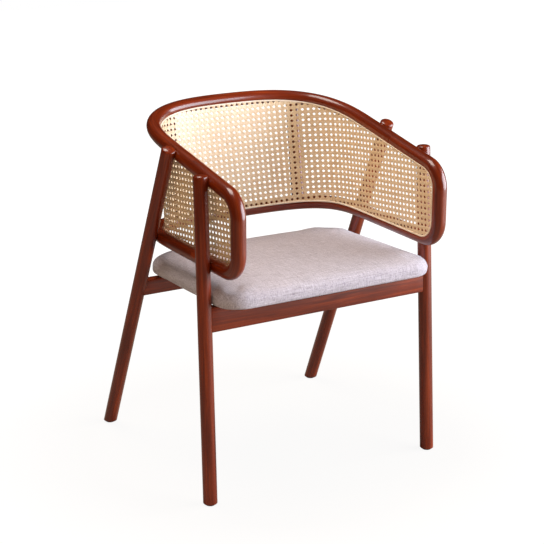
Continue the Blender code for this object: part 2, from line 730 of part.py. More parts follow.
def seat_rail(end, top, height, thickness, spread):
    """A rail between a pair of legs, coped to them and held by two dowels at each end."""
    line = legs[end, 1][0]
    middle = in_seat(leg_at(line, SEAT_FRONT_HEIGHT + top - height / 2))
    for _ in range(2):
        world = SEAT_MATRIX @ Vector((0, middle.y, top - height / 2))
        middle = in_seat(leg_at(line, world.z))
    reach = middle.x - LEG_RADIUS * RAIL_END_SHARE
    low = (-reach, middle.y - thickness / 2, top - height)
    rail = box(f"{end}_seat_rail", low, (reach, middle.y + thickness / 2, top), STAINED_WOOD, seat_frame)
    for side in (-1, 1):
        _, leg_body, cope = legs[end, side]
        cut(rail, cope)
        for level, place in ((-spread, "low"), (spread, "high")):
            outer = Vector((side * (middle.x + LEG_RADIUS * DOWEL_END_SHARE), middle.y, middle.z + level))
            inner = outer - Vector((side * SEAT_RAIL_DOWEL_LENGTH, 0, 0))
            name = f"{end}_rail_dowel_{place}_{side_name(side)}"
            dowel(name, outer, inner, (leg_body, rail), seat_frame)
    return rail, Vector((reach, middle.y))


front_seat_rail, front_end = seat_rail(
    "front", RAIL_TOP, FRONT_RAIL_HEIGHT, FRONT_RAIL_THICKNESS, FRONT_DOWEL_SPREAD
)
rear_seat_rail, rear_end = seat_rail(
    "rear", -REAR_RAIL_DROP, REAR_RAIL_HEIGHT, REAR_RAIL_THICKNESS, REAR_DOWEL_SPREAD
)
rear_seat_batten = box(
    "rear_seat_batten",
    (BATTEN_INSET - rear_end.x, rear_end.y - BATTEN_THICKNESS / 2, -REAR_RAIL_DROP + CLEARANCE),
    (rear_end.x - BATTEN_INSET, rear_end.y + BATTEN_THICKNESS / 2, RAIL_TOP),
    STAINED_WOOD,
    seat_frame,
)


CORNER_STEPS = 8
BOARD_CORNER_STEPS = 6
END_EDGE_STEPS = 8
SIDE_EDGE_STEPS = 4


def seat_corners(inset, steps):
    """The arcs of the plan's four corners, moved in by the inset, anticlockwise from the right rear one."""
    slope = math.atan2(SEAT_FRONT_HALF_WIDTH - SEAT_REAR_HALF_WIDTH, SEAT_DEPTH)
    right = []
    for half, y, radius, first, turn in (
        (SEAT_REAR_HALF_WIDTH, SEAT_DEPTH, SEAT_REAR_CORNER, slope, math.pi / 2 - slope),
        (SEAT_FRONT_HALF_WIDTH, 0, SEAT_FRONT_CORNER, -math.pi / 2, math.pi / 2 + slope),
    ):
        centre_y = SEAT_DEPTH - radius if y else radius
        edge_half = half + (y - centre_y) * math.tan(slope)
        centre = Vector((edge_half - radius / math.cos(slope), centre_y))
        arc = [first + turn * step / steps for step in range(steps + 1)]
        right.append([centre + Vector((math.cos(a), math.sin(a))) * (radius - inset) for a in arc])
    rear_right, front_right = right
    rear_left, front_left = ([Vector((-p.x, p.y)) for p in reversed(corner)] for corner in right)
    return rear_right, rear_left, front_left, front_right


def corner_outline(inset):
    """The seat's plan as its corners alone, for flat pieces."""
    return [tuple(point) for corner in seat_corners(inset, BOARD_CORNER_STEPS) for point in corner]


def seat_outline(inset):
    """The seat's plan with points along its straight edges too."""
    corners = seat_corners(inset, CORNER_STEPS)
    edge_steps = (END_EDGE_STEPS, SIDE_EDGE_STEPS, END_EDGE_STEPS, SIDE_EDGE_STEPS)
    points = []
    for corner, following, steps in zip(corners, corners[1:] + corners[:1], edge_steps):
        points += corner[:-1]
        points += [corner[-1].lerp(following[0], step / steps) for step in range(steps)]
    return points


CUSHION_EDGE = 0.0230
CUSHION_LOWER_EDGE = 0.0110
CUSHION_WIDEST_SHARE = 0.38
CROWN_SHARES = (0.30, 0.60, 0.84)
EDGE_STEPS = 5
BASE_SHARE = 0.5


def cushion_rings():
    """Each ring of the cushion from its top to its base, as (share of the way out, inset, height)."""
    rings = []
    for share in CROWN_SHARES:
        rings.append((share, CUSHION_EDGE, CUSHION_THICKNESS + CUSHION_CROWN * (1 - share**2)))
    widest = CUSHION_THICKNESS * CUSHION_WIDEST_SHARE
    for step in range(-EDGE_STEPS, EDGE_STEPS + 1):
        turn = math.pi / 2 * step / EDGE_STEPS
        reach, rise = (CUSHION_LOWER_EDGE, widest) if step > 0 else (CUSHION_EDGE, CUSHION_THICKNESS - widest)
        rings.append((1, reach * (1 - math.cos(turn)), widest - rise * math.sin(turn)))
    rings.append((BASE_SHARE, CUSHION_LOWER_EDGE, 0))
    return rings


def seat_cushion():
    """The cushion is a sphere's grid laid on rings: a crowned top and a rounded edge."""
    rings = cushion_rings()
    around = len(seat_outline(0))
    centre = Vector((0, SEAT_DEPTH / 2))
    body = bmesh.new()
    bmesh.ops.create_uvsphere(body, u_segments=around, v_segments=len(rings) + 1, radius=1)
    outlines = {inset: seat_outline(inset) for _, inset, _ in rings}
    for vertex in body.verts:
        level = round(math.acos(max(-1, min(1, vertex.co.z))) / math.pi * (len(rings) + 1))
        if level == 0:
            vertex.co = (*centre, CUSHION_THICKNESS + CUSHION_CROWN)
        elif level == len(rings) + 1:
            vertex.co = (*centre, 0)
        else:
            share, inset, height = rings[level - 1]
            station = round(math.atan2(vertex.co.y, vertex.co.x) / (2 * math.pi) * around) % around
            point = centre.lerp(outlines[inset][station], share)
            vertex.co = (*point, height)
    mesh = bpy.data.meshes.new("seat_cushion")
    body.to_mesh(mesh)
    body.free()
    return placed("seat_cushion", mesh, LINEN, seat_frame)


cushion = seat_cushion()
seat_board = slab("seat_board", corner_outline(BOARD_INSET), 0, BOARD_THICKNESS, PLYWOOD, seat_frame)
recess = slab(
    "board_recess",
    corner_outline(BOARD_INSET - CLEARANCE),
    -OVERRUN,
    BOARD_THICKNESS + CLEARANCE,
    None,
    seat_frame,
)
cut(cushion, recess)
dust_cover = slab("dust_cover", corner_outline(COVER_INSET), COVER_BOTTOM, COVER_TOP, BLACK_CLOTH, seat_frame)


# Screws that come up through the seat rails into the board

SCREW_RADIUS = 0.0023
SCREW_HEAD_RADIUS = 0.0045
SCREW_HEAD_THICKNESS = 0.0030
SCREW_TIP = 0.0040
SCREW_BITE = 0.0085
COUNTERBORE_RADIUS = 0.0055
FRONT_SCREW_SEAT = 0.0200
REAR_SCREW_SEAT = 0.0180
FRONT_SCREW_INSET = 0.100
REAR_SCREW_INSET = 0.140


def screw_profile(length, gap, head_end):
    """A pointed screw with its head down, or the hole for it."""
    radius = SCREW_RADIUS + gap
    head = COUNTERBORE_RADIUS if gap else SCREW_HEAD_RADIUS
    return [
        (0, length + gap),
        (radius, length - SCREW_TIP + gap),
        (radius, gap),
        (head, gap),
        (head, head_end),
        (0, head_end),
    ]


def seat_screw(name, x, y, rail_top, seat, hosts):
    """A screw whose head bears on the bottom of its counterbore, the given depth under the rail's top."""
    head_z = rail_top - seat
    length = SCREW_BITE - head_z
    drop = 2 * (FRONT_RAIL_HEIGHT + REAR_RAIL_HEIGHT)
    screw = turned(name, screw_profile(length, 0, -SCREW_HEAD_THICKNESS), STEEL, SMALL_SIDES, seat_frame)
    hole = turned(name + "_hole", screw_profile(length, CLEARANCE, -drop), None, SMALL_SIDES, seat_frame)
    for made in (screw, hole):
        made.location = (x, y, head_z)
    for host in hosts:
        cut(host, hole)


for side in (-1, 1):
    seat_screw(
        f"front_seat_screw_{side_name(side)}",
        side * (front_end.x - FRONT_SCREW_INSET),
        front_end.y,
        RAIL_TOP,
        FRONT_SCREW_SEAT,
        (front_seat_rail, dust_cover, seat_board),
    )
    seat_screw(
        f"rear_seat_screw_{side_name(side)}",
        side * (rear_end.x - REAR_SCREW_INSET),
        rear_end.y,
        -REAR_RAIL_DROP,
        REAR_SCREW_SEAT,
        (rear_seat_rail, rear_seat_batten, dust_cover, seat_board),
    )


# The chair's origin is on the floor at the middle of its length from front to back

bpy.context.view_layer.update()
graph = bpy.context.evaluated_depsgraph_get()
reach_y = []
for piece in (bends[1][0], legs["rear", 1][1]):
    evaluated = piece.evaluated_get(graph)
    reach_y += [(evaluated.matrix_world @ vertex.co).y for vertex in evaluated.data.vertices]
chair_base.location.y = -(min(reach_y) + max(reach_y)) / 2
print("moved along Y by", round(chair_base.location.y, 5))
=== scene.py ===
"""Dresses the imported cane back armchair: stained round wood, a woven cane back and a linen seat.
Metres, +Z up. X runs across the chair and the front faces -Y."""

import itertools
import math
from collections import namedtuple

import bmesh
import bpy
import numpy as np
from mathutils import Matrix, Vector


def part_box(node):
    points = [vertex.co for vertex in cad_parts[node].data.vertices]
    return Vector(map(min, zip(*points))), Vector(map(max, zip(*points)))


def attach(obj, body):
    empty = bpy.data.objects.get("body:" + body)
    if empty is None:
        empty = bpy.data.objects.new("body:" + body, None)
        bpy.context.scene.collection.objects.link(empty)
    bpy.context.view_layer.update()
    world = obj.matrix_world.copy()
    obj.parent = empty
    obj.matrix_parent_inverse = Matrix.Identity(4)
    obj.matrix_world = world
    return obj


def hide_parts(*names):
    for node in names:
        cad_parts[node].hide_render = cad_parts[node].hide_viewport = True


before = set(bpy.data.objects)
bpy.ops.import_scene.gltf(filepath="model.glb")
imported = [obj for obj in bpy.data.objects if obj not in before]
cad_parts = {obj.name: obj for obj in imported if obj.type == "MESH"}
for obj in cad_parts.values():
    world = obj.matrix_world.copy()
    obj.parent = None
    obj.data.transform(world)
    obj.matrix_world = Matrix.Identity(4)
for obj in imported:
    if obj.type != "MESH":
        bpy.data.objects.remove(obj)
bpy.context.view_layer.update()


# Legs
# Four round legs of solid hardwood, stained red-brown and lacquered. They are turned to one
# thickness with a low domed top, stand outside the hoop and are dowelled to it where they cross it.

LEG_RADIUS = 0.0142
LEG_SIDES = 48
LEG_RING_STEP = 0.020
LEG_ABOVE_CROSSING = 0.0147
DOME_HEIGHT = 0.0058
DOME_STEPS = 8
DOME_POWER = 2 / 2.3
DOWEL_END_SHARE = 0.35
FOOT_HEIGHT = 0.0028
FOOT_EDGE = 0.0013
SMOOTH_ANGLE = math.radians(38)

# How far apart the pieces of wood are in the figure, so that no two look alike
STOCK_SPACING = 2.7


def add(tree, kind, inputs=(), **settings):
    """A node with its settings, and each input given as a value or as the output that feeds it."""
    made = tree.nodes.new(kind)
    for name, value in settings.items():
        setattr(made, name, value)
    for name, value in dict(inputs).items():
        if isinstance(value, bpy.types.NodeSocket):
            tree.links.new(value, made.inputs[name])
        else:
            made.inputs[name].default_value = value
    return made


def ramp(tree, fac, *stops):
    """A colour ramp whose stops are (place, colour)."""
    made = add(tree, "ShaderNodeValToRGB", {"Fac": fac})
    elements = made.color_ramp.elements
    for index, (place, colour) in enumerate(stops):
        element = elements[index] if index < 2 else elements.new(place)
        element.position = place
        element.color = (*colour, 1)
    return made.outputs["Color"]


def scaled(tree, vector, scale):
    return add(tree, "ShaderNodeVectorMath", {0: vector, 1: scale}, operation="MULTIPLY").outputs[0]


def noise(tree, vector, scale, detail=2.0, roughness=0.5, distortion=0.0):
    """Noise at its own scale along each axis, from about 0 to 1."""
    inputs = {
        "Vector": scaled(tree, vector, scale),
        "Scale": 1.0,
        "Detail": detail,
        "Roughness": roughness,
        "Distortion": distortion,
    }
    return add(tree, "ShaderNodeTexNoise", inputs).outputs["Fac"]


def math_node(tree, operation, *values):
    return add(tree, "ShaderNodeMath", dict(enumerate(values)), operation=operation).outputs[0]


def mixed(tree, share, first, second, blend="MIX"):
    """Two colours mixed, each given as a value or as an output."""
    colours = [value if isinstance(value, bpy.types.NodeSocket) else (*value, 1) for value in (first, second)]
    inputs = {0: share, 6: colours[0], 7: colours[1]}
    return add(tree, "ShaderNodeMix", inputs, data_type="RGBA", blend_type=blend).outputs[2]


def figure_group(name):
    """An empty shader group that makes a colour, a roughness and a height of a place, and that place."""
    group = bpy.data.node_groups.new(name, "ShaderNodeTree")
    group.interface.new_socket("Vector", in_out="INPUT", socket_type="NodeSocketVector")
    for socket, kind in (("Color", "Color"), ("Roughness", "Float"), ("Height", "Float")):
        group.interface.new_socket(socket, in_out="OUTPUT", socket_type="NodeSocket" + kind)
    return group, group.nodes.new("NodeGroupInput").outputs["Vector"]


def put_out(group, **values):
    """The group with its outputs fed."""
    add(group, "NodeGroupOutput", values)
    return group


def timber_figure():
    """Wood figure that runs along Z: bands, fibres, pores and a cloudy stain."""
    group, place = figure_group("timber_figure")
    bands = noise(group, place, (150, 150, 7), 4.0, 0.6, 0.7)
    fibres = noise(group, place, (1500, 1500, 30), 3.0, 0.6)
    clouds = noise(group, place, (22, 22, 5))
    pores = noise(group, place, (2600, 2600, 110), 1.0)
    dark, middle, light = (0.088, 0.0078, 0.0003), (0.148, 0.0150, 0.0006), (0.240, 0.0310, 0.0020)
    figure = ramp(group, bands, (0.30, dark), (0.50, middle), (0.72, light))
    streaks = ramp(group, fibres, (0.30, (0.42, 0.40, 0.39)), (0.70, (0.66, 0.65, 0.64)))
    clouding = ramp(group, clouds, (0.30, (0.32, 0.31, 0.30)), (0.70, (0.70, 0.69, 0.68)))
    dark_pores = ramp(group, pores, (0.30, (0.70, 0.60, 0.56)), (0.40, (1, 1, 1)))
    colour = mixed(group, 0.4, figure, streaks, "OVERLAY")
    colour = mixed(group, 0.5, colour, clouding, "OVERLAY")
    colour = mixed(group, 0.6, colour, dark_pores, "MULTIPLY")
    roughness = math_node(group, "MULTIPLY_ADD", clouds, 0.12, 0.30)
    height = math_node(group, "MULTIPLY_ADD", bands, 0.25, fibres)
    return put_out(group, Color=colour, Roughness=roughness, Height=height)


def new_material(name, **settings):
    """A material, its tree and its Principled shader, which takes the settings."""
    made = bpy.data.materials.new(name)
    made.use_nodes = True
    shader = made.node_tree.nodes["Principled BSDF"]
    for socket, value in settings.items():
        shader.inputs[socket.replace("_", " ")].default_value = value
    return made, made.node_tree, shader


def dress(tree, shader, colour, height, distance, strength=1.0, roughness=None):
    """Feeds the shader its colour, its fine relief and, where it varies, its roughness."""
    relief = {"Height": height, "Distance": distance, "Strength": strength}
    tree.links.new(add(tree, "ShaderNodeBump", relief).outputs["Normal"], shader.inputs["Normal"])
    tree.links.new(colour, shader.inputs["Base Color"])
    if roughness:
        tree.links.new(roughness, shader.inputs["Roughness"])


def grained(name, figure, relief, tint=None, **settings):
    """A material that shows a figure by each point's place in its stock."""
    made, tree, shader = new_material(name, **settings)
    stock = add(tree, "ShaderNodeAttribute", attribute_name="grain").outputs["Vector"]
    shown = add(tree, "ShaderNodeGroup", {"Vector": stock}, node_tree=figure).outputs
    colour = mixed(tree, 1.0, shown["Color"], tint, "MULTIPLY") if tint else shown["Color"]
    dress(tree, shader, colour, shown["Height"], relief, roughness=shown["Roughness"])
    return made


def placed(name, data):
    """A new object in the scene."""
    made = bpy.data.objects.new(name, data)
    bpy.context.scene.collection.objects.link(made)
    return made


def finished(name, mesh, look, slot, *nodes):
    """The piece with its finish, in place of its CAD nodes."""
    made = placed(name, mesh)
    mesh.materials.clear()
    mesh.materials.append(look)
    mesh.shade_smooth()
    mesh.set_sharp_from_angle(angle=SMOOTH_ANGLE)
    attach(made, "root")
    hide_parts(*nodes)
    return made


def keep_vectors(mesh, name, vectors):
    """One vector for each point, kept on the mesh."""
    attribute = mesh.attributes.new(name, "FLOAT_VECTOR", "POINT")
    attribute.data.foreach_set("vector", np.array(vectors, float).ravel())


def set_grain(mesh, places):
    """Each point's place in the straight piece of stock that it was made from, its length along Z."""
    keep_vectors(mesh, "grain", np.array(places) + (0, 0, STOCK_SPACING * next(stock_numbers)))


def outward(mesh):
    body = bmesh.new()
    body.from_mesh(mesh)
    bmesh.ops.recalc_face_normals(body, faces=body.faces)
    body.to_mesh(mesh)
    body.free()
    return mesh


def ring_mesh(name, rings):
    """A closed skin over rings of points, with a point at each end."""
    sides = len(rings[1])
    points = [rings[0], *itertools.chain(*rings[1:-1]), rings[-1]]
    last = len(points) - 1
    last_ring = last - sides
    faces = []
    for side in range(sides):
        after = (side + 1) % sides
        faces.append((0, 1 + side, 1 + after))
        for low in range(1, last_ring, sides):
            high = low + sides
            faces.append((low + side, high + side, high + after, low + after))
        faces.append((last, last_ring + after, last_ring + side))
    mesh = bpy.data.meshes.new(name)
    mesh.from_pydata([tuple(point) for point in points], [], faces)
    return outward(mesh)


def across(along):
    """Two directions square to an axis."""
    first = Vector((1, 0, 0))
    first = (first - along * first.dot(along)).normalized()
    return first, along.cross(first)


def round_ring(centre, along, radius, sides):
    first, second = across(along)
    turns = [2 * math.pi * side / sides for side in range(sides)]
    return [centre + first * radius * math.cos(turn) + second * radius * math.sin(turn) for turn in turns]


def round_post(name, rings, foot, along):
    """A turned post over its rings, with its figure along it."""
    mesh = ring_mesh(name + "_turned", rings)
    to_stock = Matrix((*across(along), along))
    set_grain(mesh, [to_stock @ (vertex.co - foot) for vertex in mesh.vertices])
    finished(name + "_turned", mesh, STAINED_WOOD, "stained_wood", name)


def leg_axis(name):
    """A leg's axis, from its glide and its upper dowel: its foot, its direction and its length."""
    low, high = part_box(name.replace("leg", "foot_glide"))
    base = Vector(((low.x + high.x) / 2, (low.y + high.y) / 2, high.z))
    low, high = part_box(name + "_dowel_upper")
    crossing = (low + high) / 2
    if base.x > 0:
        crossing.x = high.x - LEG_RADIUS * DOWEL_END_SHARE
    else:
        crossing.x = low.x + LEG_RADIUS * DOWEL_END_SHARE
    along = (crossing - base).normalized()
    return base - along * (base.z / along.z), along, (crossing.z + LEG_ABOVE_CROSSING) / along.z


def leg(name):
    foot, along, length = leg_axis(name)
    rings = [foot + along * length]
    for step in range(1, DOME_STEPS + 1):
        turn = math.pi / 2 * step / DOME_STEPS
        drop = DOME_HEIGHT * (1 - math.cos(turn) ** DOME_POWER)
        radius = LEG_RADIUS * math.sin(turn) ** DOME_POWER
        rings.append(round_ring(foot + along * (length - drop), along, radius, LEG_SIDES))
    steps = round(length / LEG_RING_STEP)
    for step in range(1, steps):
        centre = foot + along * (length - DOME_HEIGHT) * (1 - step / steps)
        rings.append(round_ring(centre, along, LEG_RADIUS, LEG_SIDES))
    for radius, height in ((LEG_RADIUS, FOOT_HEIGHT + FOOT_EDGE), (LEG_RADIUS - FOOT_EDGE, FOOT_HEIGHT)):
        ring = round_ring(foot, along, radius, LEG_SIDES)
        rings.append([point + along * ((height - point.z) / along.z) for point in ring])
    rings.append(foot + along * (FOOT_HEIGHT / along.z))
    round_post(name, rings, foot, along)


stock_numbers = itertools.count(1)
STAINED_WOOD = grained(
    "stained_wood",
    timber_figure(),
    0.00002,
    Coat_Weight=0.75,
    Coat_Roughness=0.12,
    Specular_IOR_Level=0.25,
)
for name in ("leg_front_left", "leg_front_right", "leg_rear_left", "leg_rear_right"):
    leg(name)


# Hoop rails
# Four round rails of steamed hardwood close the hoop: one round the top of the back, one round its
# foot, and a bend at each arm's front. Dowels join them end to end, and a groove holds the cane.

RAIL_RADIUS = 0.0147
RAIL_SIDES = 40
RAIL_STEP = 0.006
RAIL_FIRST_STOCK = 10
JOINT_GAP = 0.00008
FOOT_SPACING = 0.4766
FRONT_LEG_ARM_Y = -FOOT_SPACING / 2 + 0.0359
REAR_LEG_ARM_Y = FOOT_SPACING / 2 - 0.3051
RAIL_JOINT_Y = (FRONT_LEG_ARM_Y + REAR_LEG_ARM_Y) / 2
LOWER_HEIGHT = 0.4790
TOP_HEIGHT = 0.7100
TOP_CROWN = 0.003
BACK_HALF_WIDTH = 0.2303
ARM_FRONT_HALF_WIDTH = BACK_HALF_WIDTH - 0.0034
ARM_FRONT_Y = FRONT_LEG_ARM_Y - 0.0952
ARM_RISE = math.tan(math.radians(10.45))
ARM_BEND_RADIUS = 0.045
LOWER_BEND_RADIUS = 0.043
BEND_STEPS = 16
FINE_COUNT = 4000

# A rail's sweep round the back: where it starts, how deep it is and how square its curve is
Sweep = namedtuple("Sweep", "start_y depth squareness")
TOP = Sweep(REAR_LEG_ARM_Y + 0.0373, 0.1911, 2.84)
LOWER = Sweep(TOP.start_y - 0.0105, 0.1590, 3.6)
SWEEP_LENGTH_SHARE = 0.85

TOE = math.atan2(BACK_HALF_WIDTH - ARM_FRONT_HALF_WIDTH, TOP.start_y - ARM_FRONT_Y)
ARM_NORMAL = np.array((-math.cos(TOE), math.sin(TOE), 0))
TOP_BACK_Y = TOP.start_y + TOP.depth

GROOVE_HALF_WIDTH = 0.0024
GROOVE_FLOOR = 0.0118
GROOVE_TURN = math.radians(24.5)
REED_REACH = RAIL_RADIUS - 0.0005
REED_INWARD = REED_REACH * math.cos(GROOVE_TURN)
REED_INSET = REED_REACH * math.sin(GROOVE_TURN)

# The hoop's own lines have Y from midway between the feet, and the chair's has its middle at 0
front_low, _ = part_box("front_bend_right")
HOOP_BACK = front_low.y - (ARM_FRONT_Y - RAIL_RADIUS)


def arm_half_width(y):
    return ARM_FRONT_HALF_WIDTH + (y - ARM_FRONT_Y) * math.tan(TOE)


def rail_height(sweep, x, y):
    """The height of a rail's axis. The top one falls to the front, with a slight crown at the back."""
    if sweep is LOWER:
        return LOWER_HEIGHT + 0 * x
    crown = TOP_CROWN * (1 - (x / arm_half_width(sweep.start_y)) ** 2) * (y > sweep.start_y)
    return TOP_HEIGHT + (y - TOP_BACK_Y) * ARM_RISE + crown


def sweep_points(sweep, count):
    """Even steps round the right half of the sweep: the axis, and the way in to the hoop at each."""
    half = arm_half_width(sweep.start_y)
    turn = np.linspace(0, math.pi / 2, FINE_COUNT)
    x = half * np.clip(np.cos(turn), 0, 1) ** (2 / sweep.squareness)
    y = sweep.start_y + sweep.depth * np.sin(turn) ** (2 / sweep.squareness)
    x[-1] = 0
    length = np.concatenate([[0], np.cumsum(np.hypot(np.diff(x), np.diff(y)))])
    even = np.linspace(0, length[-1], count + 1)
    x, y = np.interp(even, length, x), np.interp(even, length, y)
    power = sweep.squareness - 1
    side = (x / half) ** power / half
    back = ((y - sweep.start_y) / sweep.depth).clip(0) ** power / sweep.depth
    inward = -np.stack([side, back, 0 * x], axis=1) / np.hypot(side, back)[:, None]
    return np.stack([x, y, rail_height(sweep, x, y)], axis=1), inward


def mirrored(points):
    return points * (-1, 1, 1)


def back_rail_line(sweep, step):
    """A back rail's axis from its left end to its right end, and the way in at each point."""
    count = max(2, round((sweep.start_y - RAIL_JOINT_Y) / step))
    y = np.linspace(RAIL_JOINT_Y, sweep.start_y, count, endpoint=False)
    x = arm_half_width(y)
    arm = np.stack([x, y, rail_height(sweep, x, y)], axis=1)
    sweep_length = SWEEP_LENGTH_SHARE * (arm_half_width(sweep.start_y) + sweep.depth)
    back, back_in = sweep_points(sweep, round(sweep_length / step))
    line = np.concatenate([arm, back])
    inward = np.concatenate([np.tile(ARM_NORMAL, (count, 1)), back_in])
    return [np.concatenate([mirrored(half[:-1]), half[::-1]]) for half in (line, inward)]


def bend_outline(inset=0.0):
    """A front bend's axis in the arm's upright plane: how far back, and the height."""
    rise = ARM_RISE * math.cos(TOE)
    front_height = TOP_HEIGHT + (ARM_FRONT_Y - TOP_BACK_Y) * ARM_RISE
    top_centre = front_height + rise * ARM_BEND_RADIUS - ARM_BEND_RADIUS * math.hypot(1, rise)
    low_centre = LOWER_HEIGHT + LOWER_BEND_RADIUS
    joint_back = (RAIL_JOINT_Y - ARM_FRONT_Y) / math.cos(TOE)
    line = [(joint_back, front_height + rise * joint_back - inset * math.hypot(1, rise))]
    first = math.pi / 2 + math.atan(rise)
    for start, end, radius, centre in (
        (first, math.pi, ARM_BEND_RADIUS, top_centre),
        (math.pi, 1.5 * math.pi, LOWER_BEND_RADIUS, low_centre),
    ):
        for turn in np.linspace(start, end, BEND_STEPS + 1):
            reach = radius - inset
            line.append((radius + reach * math.cos(turn), centre + reach * math.sin(turn)))
    line.append((joint_back, LOWER_HEIGHT + inset))
    return line


def in_arm(back, height):
    """A point of the right arm's upright plane."""
    return np.array((ARM_FRONT_HALF_WIDTH + back * math.sin(TOE), ARM_FRONT_Y + back * math.cos(TOE), height))


def bend_points(inset, step):
    """The right front bend, from its upper joint round the front to its lower one. Points are added
    along its long stretches, as many with every inset."""
    axis, line = np.array(bend_outline()), np.array(bend_outline(inset))
    result = [line[0]]
    for number in range(len(line) - 1):
        parts = max(1, math.ceil(np.linalg.norm(axis[number + 1] - axis[number]) / step))
        shares = np.arange(1, parts + 1)[:, None] / parts
        result += list(line[number] + (line[number + 1] - line[number]) * shares)
    return np.array([in_arm(back, height) for back, height in result])


def unit(vectors):
    return vectors / np.linalg.norm(vectors, axis=1)[:, None]


def groove_way(inward, middle):
    """The way that the groove faces: in to the hoop, turned towards the cane's middle."""
    return unit(inward * math.cos(GROOVE_TURN) + middle * math.sin(GROOVE_TURN))


def hoop_lines(step):
    """The axis of the top rail, the bottom rail and the right bend, each with the way in to the hoop
    and the way that its groove faces."""
    lines = []
    for sweep, toward in ((TOP, -1), (LOWER, 1)):
        line, inward = back_rail_line(sweep, step)
        middle = np.cross(unit(np.gradient(line, axis=0)), inward)
        middle *= (toward * np.sign(middle[:, 2]))[:, None]
        lines.append((line, inward, groove_way(inward, middle)))
    bend = bend_points(0, step)
    inward = np.tile(ARM_NORMAL, (len(bend), 1))
    lines.append((bend, inward, groove_way(inward, unit(bend_points(REED_INSET, step) - bend))))
    return lines


def trimmed(line):
    """The line with each end drawn back by the gap at a joint."""
    line = np.array(line)
    for end, neighbour in ((0, 1), (-1, -2)):
        step = line[neighbour] - line[end]
        line[end] += step / np.linalg.norm(step) * JOINT_GAP
    return line


def line_object(name, line, closed=False, **vectors):
    """A line of mesh edges, with vectors kept on its points."""
    mesh = bpy.data.meshes.new(name)
    edges = [(index, index + 1) for index in range(len(line) - 1)]
    if closed:
        edges.append((len(line) - 1, 0))
    mesh.from_pydata([tuple(point) for point in line], edges, [])
    for key, values in vectors.items():
        keep_vectors(mesh, key, values)
    return placed(name, mesh)


def circle_points(radius, turns):
    return [(radius * math.cos(turn), radius * math.sin(turn), 0) for turn in turns]


def tree_with(name, inputs):
    """An empty Geometry Nodes tree with its sockets, each given as (name, kind)."""
    tree = bpy.data.node_groups.new(name, "GeometryNodeTree")
    for socket_name, kind in (("Geometry", "Geometry"), *inputs):
        tree.interface.new_socket(socket_name, in_out="INPUT", socket_type="NodeSocket" + kind)
    tree.interface.new_socket("Geometry", in_out="OUTPUT", socket_type="NodeSocketGeometry")
    return tree, tree.nodes.new("NodeGroupInput").outputs


def kept(tree, name, data_type="FLOAT"):
    """A value that is kept on the points."""
    return add(tree, "GeometryNodeInputNamedAttribute", {"Name": name}, data_type=data_type).outputs[0]


def keep(tree, geometry, name, value, data_type="FLOAT"):
    inputs = {"Geometry": geometry, "Name": name, "Value": value}
    settings = {"data_type": data_type, "domain": "POINT"}
    return add(tree, "GeometryNodeStoreNamedAttribute", inputs, **settings).outputs[0]


def combined(tree, *values):
    return add(tree, "ShaderNodeCombineXYZ", dict(enumerate(values))).outputs[0]


def position(tree):
    return tree.nodes.new("GeometryNodeInputPosition").outputs[0]


def separated(tree, vector):
    return add(tree, "ShaderNodeSeparateXYZ", {0: vector}).outputs


def swept(tree, line, way, section, grain):
    """Carries a section along a line, with its +X kept to the way given, and sets the grain."""
    line = add(tree, "GeometryNodeSetCurveNormal", {"Curve": line, "Normal": way}, mode="FREE").outputs[0]
    section = keep(tree, section, "section", position(tree), "FLOAT_VECTOR")
    inputs = {"Curve": line, "Profile Curve": section, "Fill Caps": True}
    body = add(tree, "GeometryNodeCurveToMesh", inputs).outputs[0]
    return keep(tree, body, "grain", combined(tree, *grain), "FLOAT_VECTOR")


def finish_tree(tree, geometry, material):
    """The end of every tree: plain mesh with its material."""
    real = add(tree, "GeometryNodeRealizeInstances", {"Geometry": geometry}).outputs[0]
    coated = add(tree, "GeometryNodeSetMaterial", {"Geometry": real, "Material": material}).outputs[0]
    add(tree, "NodeGroupOutput", {0: coated})
    return tree


def bent_rail_tree():
    """A rail of one section along the line, which faces its groove's way all along."""
    sockets = [("Section", "Object"), ("Stock place", "Float"), ("Finish", "Material")]
    tree, given = tree_with("bent_rail", sockets)
    line = add(tree, "GeometryNodeMeshToCurve", {"Mesh": given["Geometry"]}).outputs[0]
    length = tree.nodes.new("GeometryNodeSplineParameter").outputs["Length"]
    line = keep(tree, line, "along", length)
    section = add(tree, "GeometryNodeObjectInfo", {"Object": given["Section"]}).outputs["Geometry"]
    section = add(tree, "GeometryNodeMeshToCurve", {"Mesh": section}).outputs[0]
    place = separated(tree, kept(tree, "section", "FLOAT_VECTOR"))
    along = math_node(tree, "ADD", kept(tree, "along"), given["Stock place"])
    way = kept(tree, "way", "FLOAT_VECTOR")
    rail = swept(tree, line, way, section, (place[0], place[1], along))
    return finish_tree(tree, rail, given["Finish"])


def evaluated_mesh(made):
    """The mesh of an object as its modifiers leave it."""
    bpy.context.view_layer.update()
    return bpy.data.meshes.new_from_object(made.evaluated_get(bpy.context.evaluated_depsgraph_get()))


def made_by(tree, bearer, name, **inputs):
    """The mesh that a tree makes on a bearer object, which it takes the place of, moved from the
    hoop's own lines to the chair's."""
    modifier = bearer.modifiers.new(tree.name, "NODES")
    modifier.node_group = tree
    for socket in tree.interface.items_tree:
        key = socket.name.replace(" ", "_").lower()
        if socket.in_out == "INPUT" and key in inputs:
            modifier[socket.identifier] = inputs[key]
    mesh = evaluated_mesh(bearer)
    mesh.name = name
    bearer.modifiers.remove(modifier)
    bpy.data.objects.remove(bearer)
    mesh.transform(Matrix.Translation((0, HOOP_BACK, 0)))
    return outward(mesh)


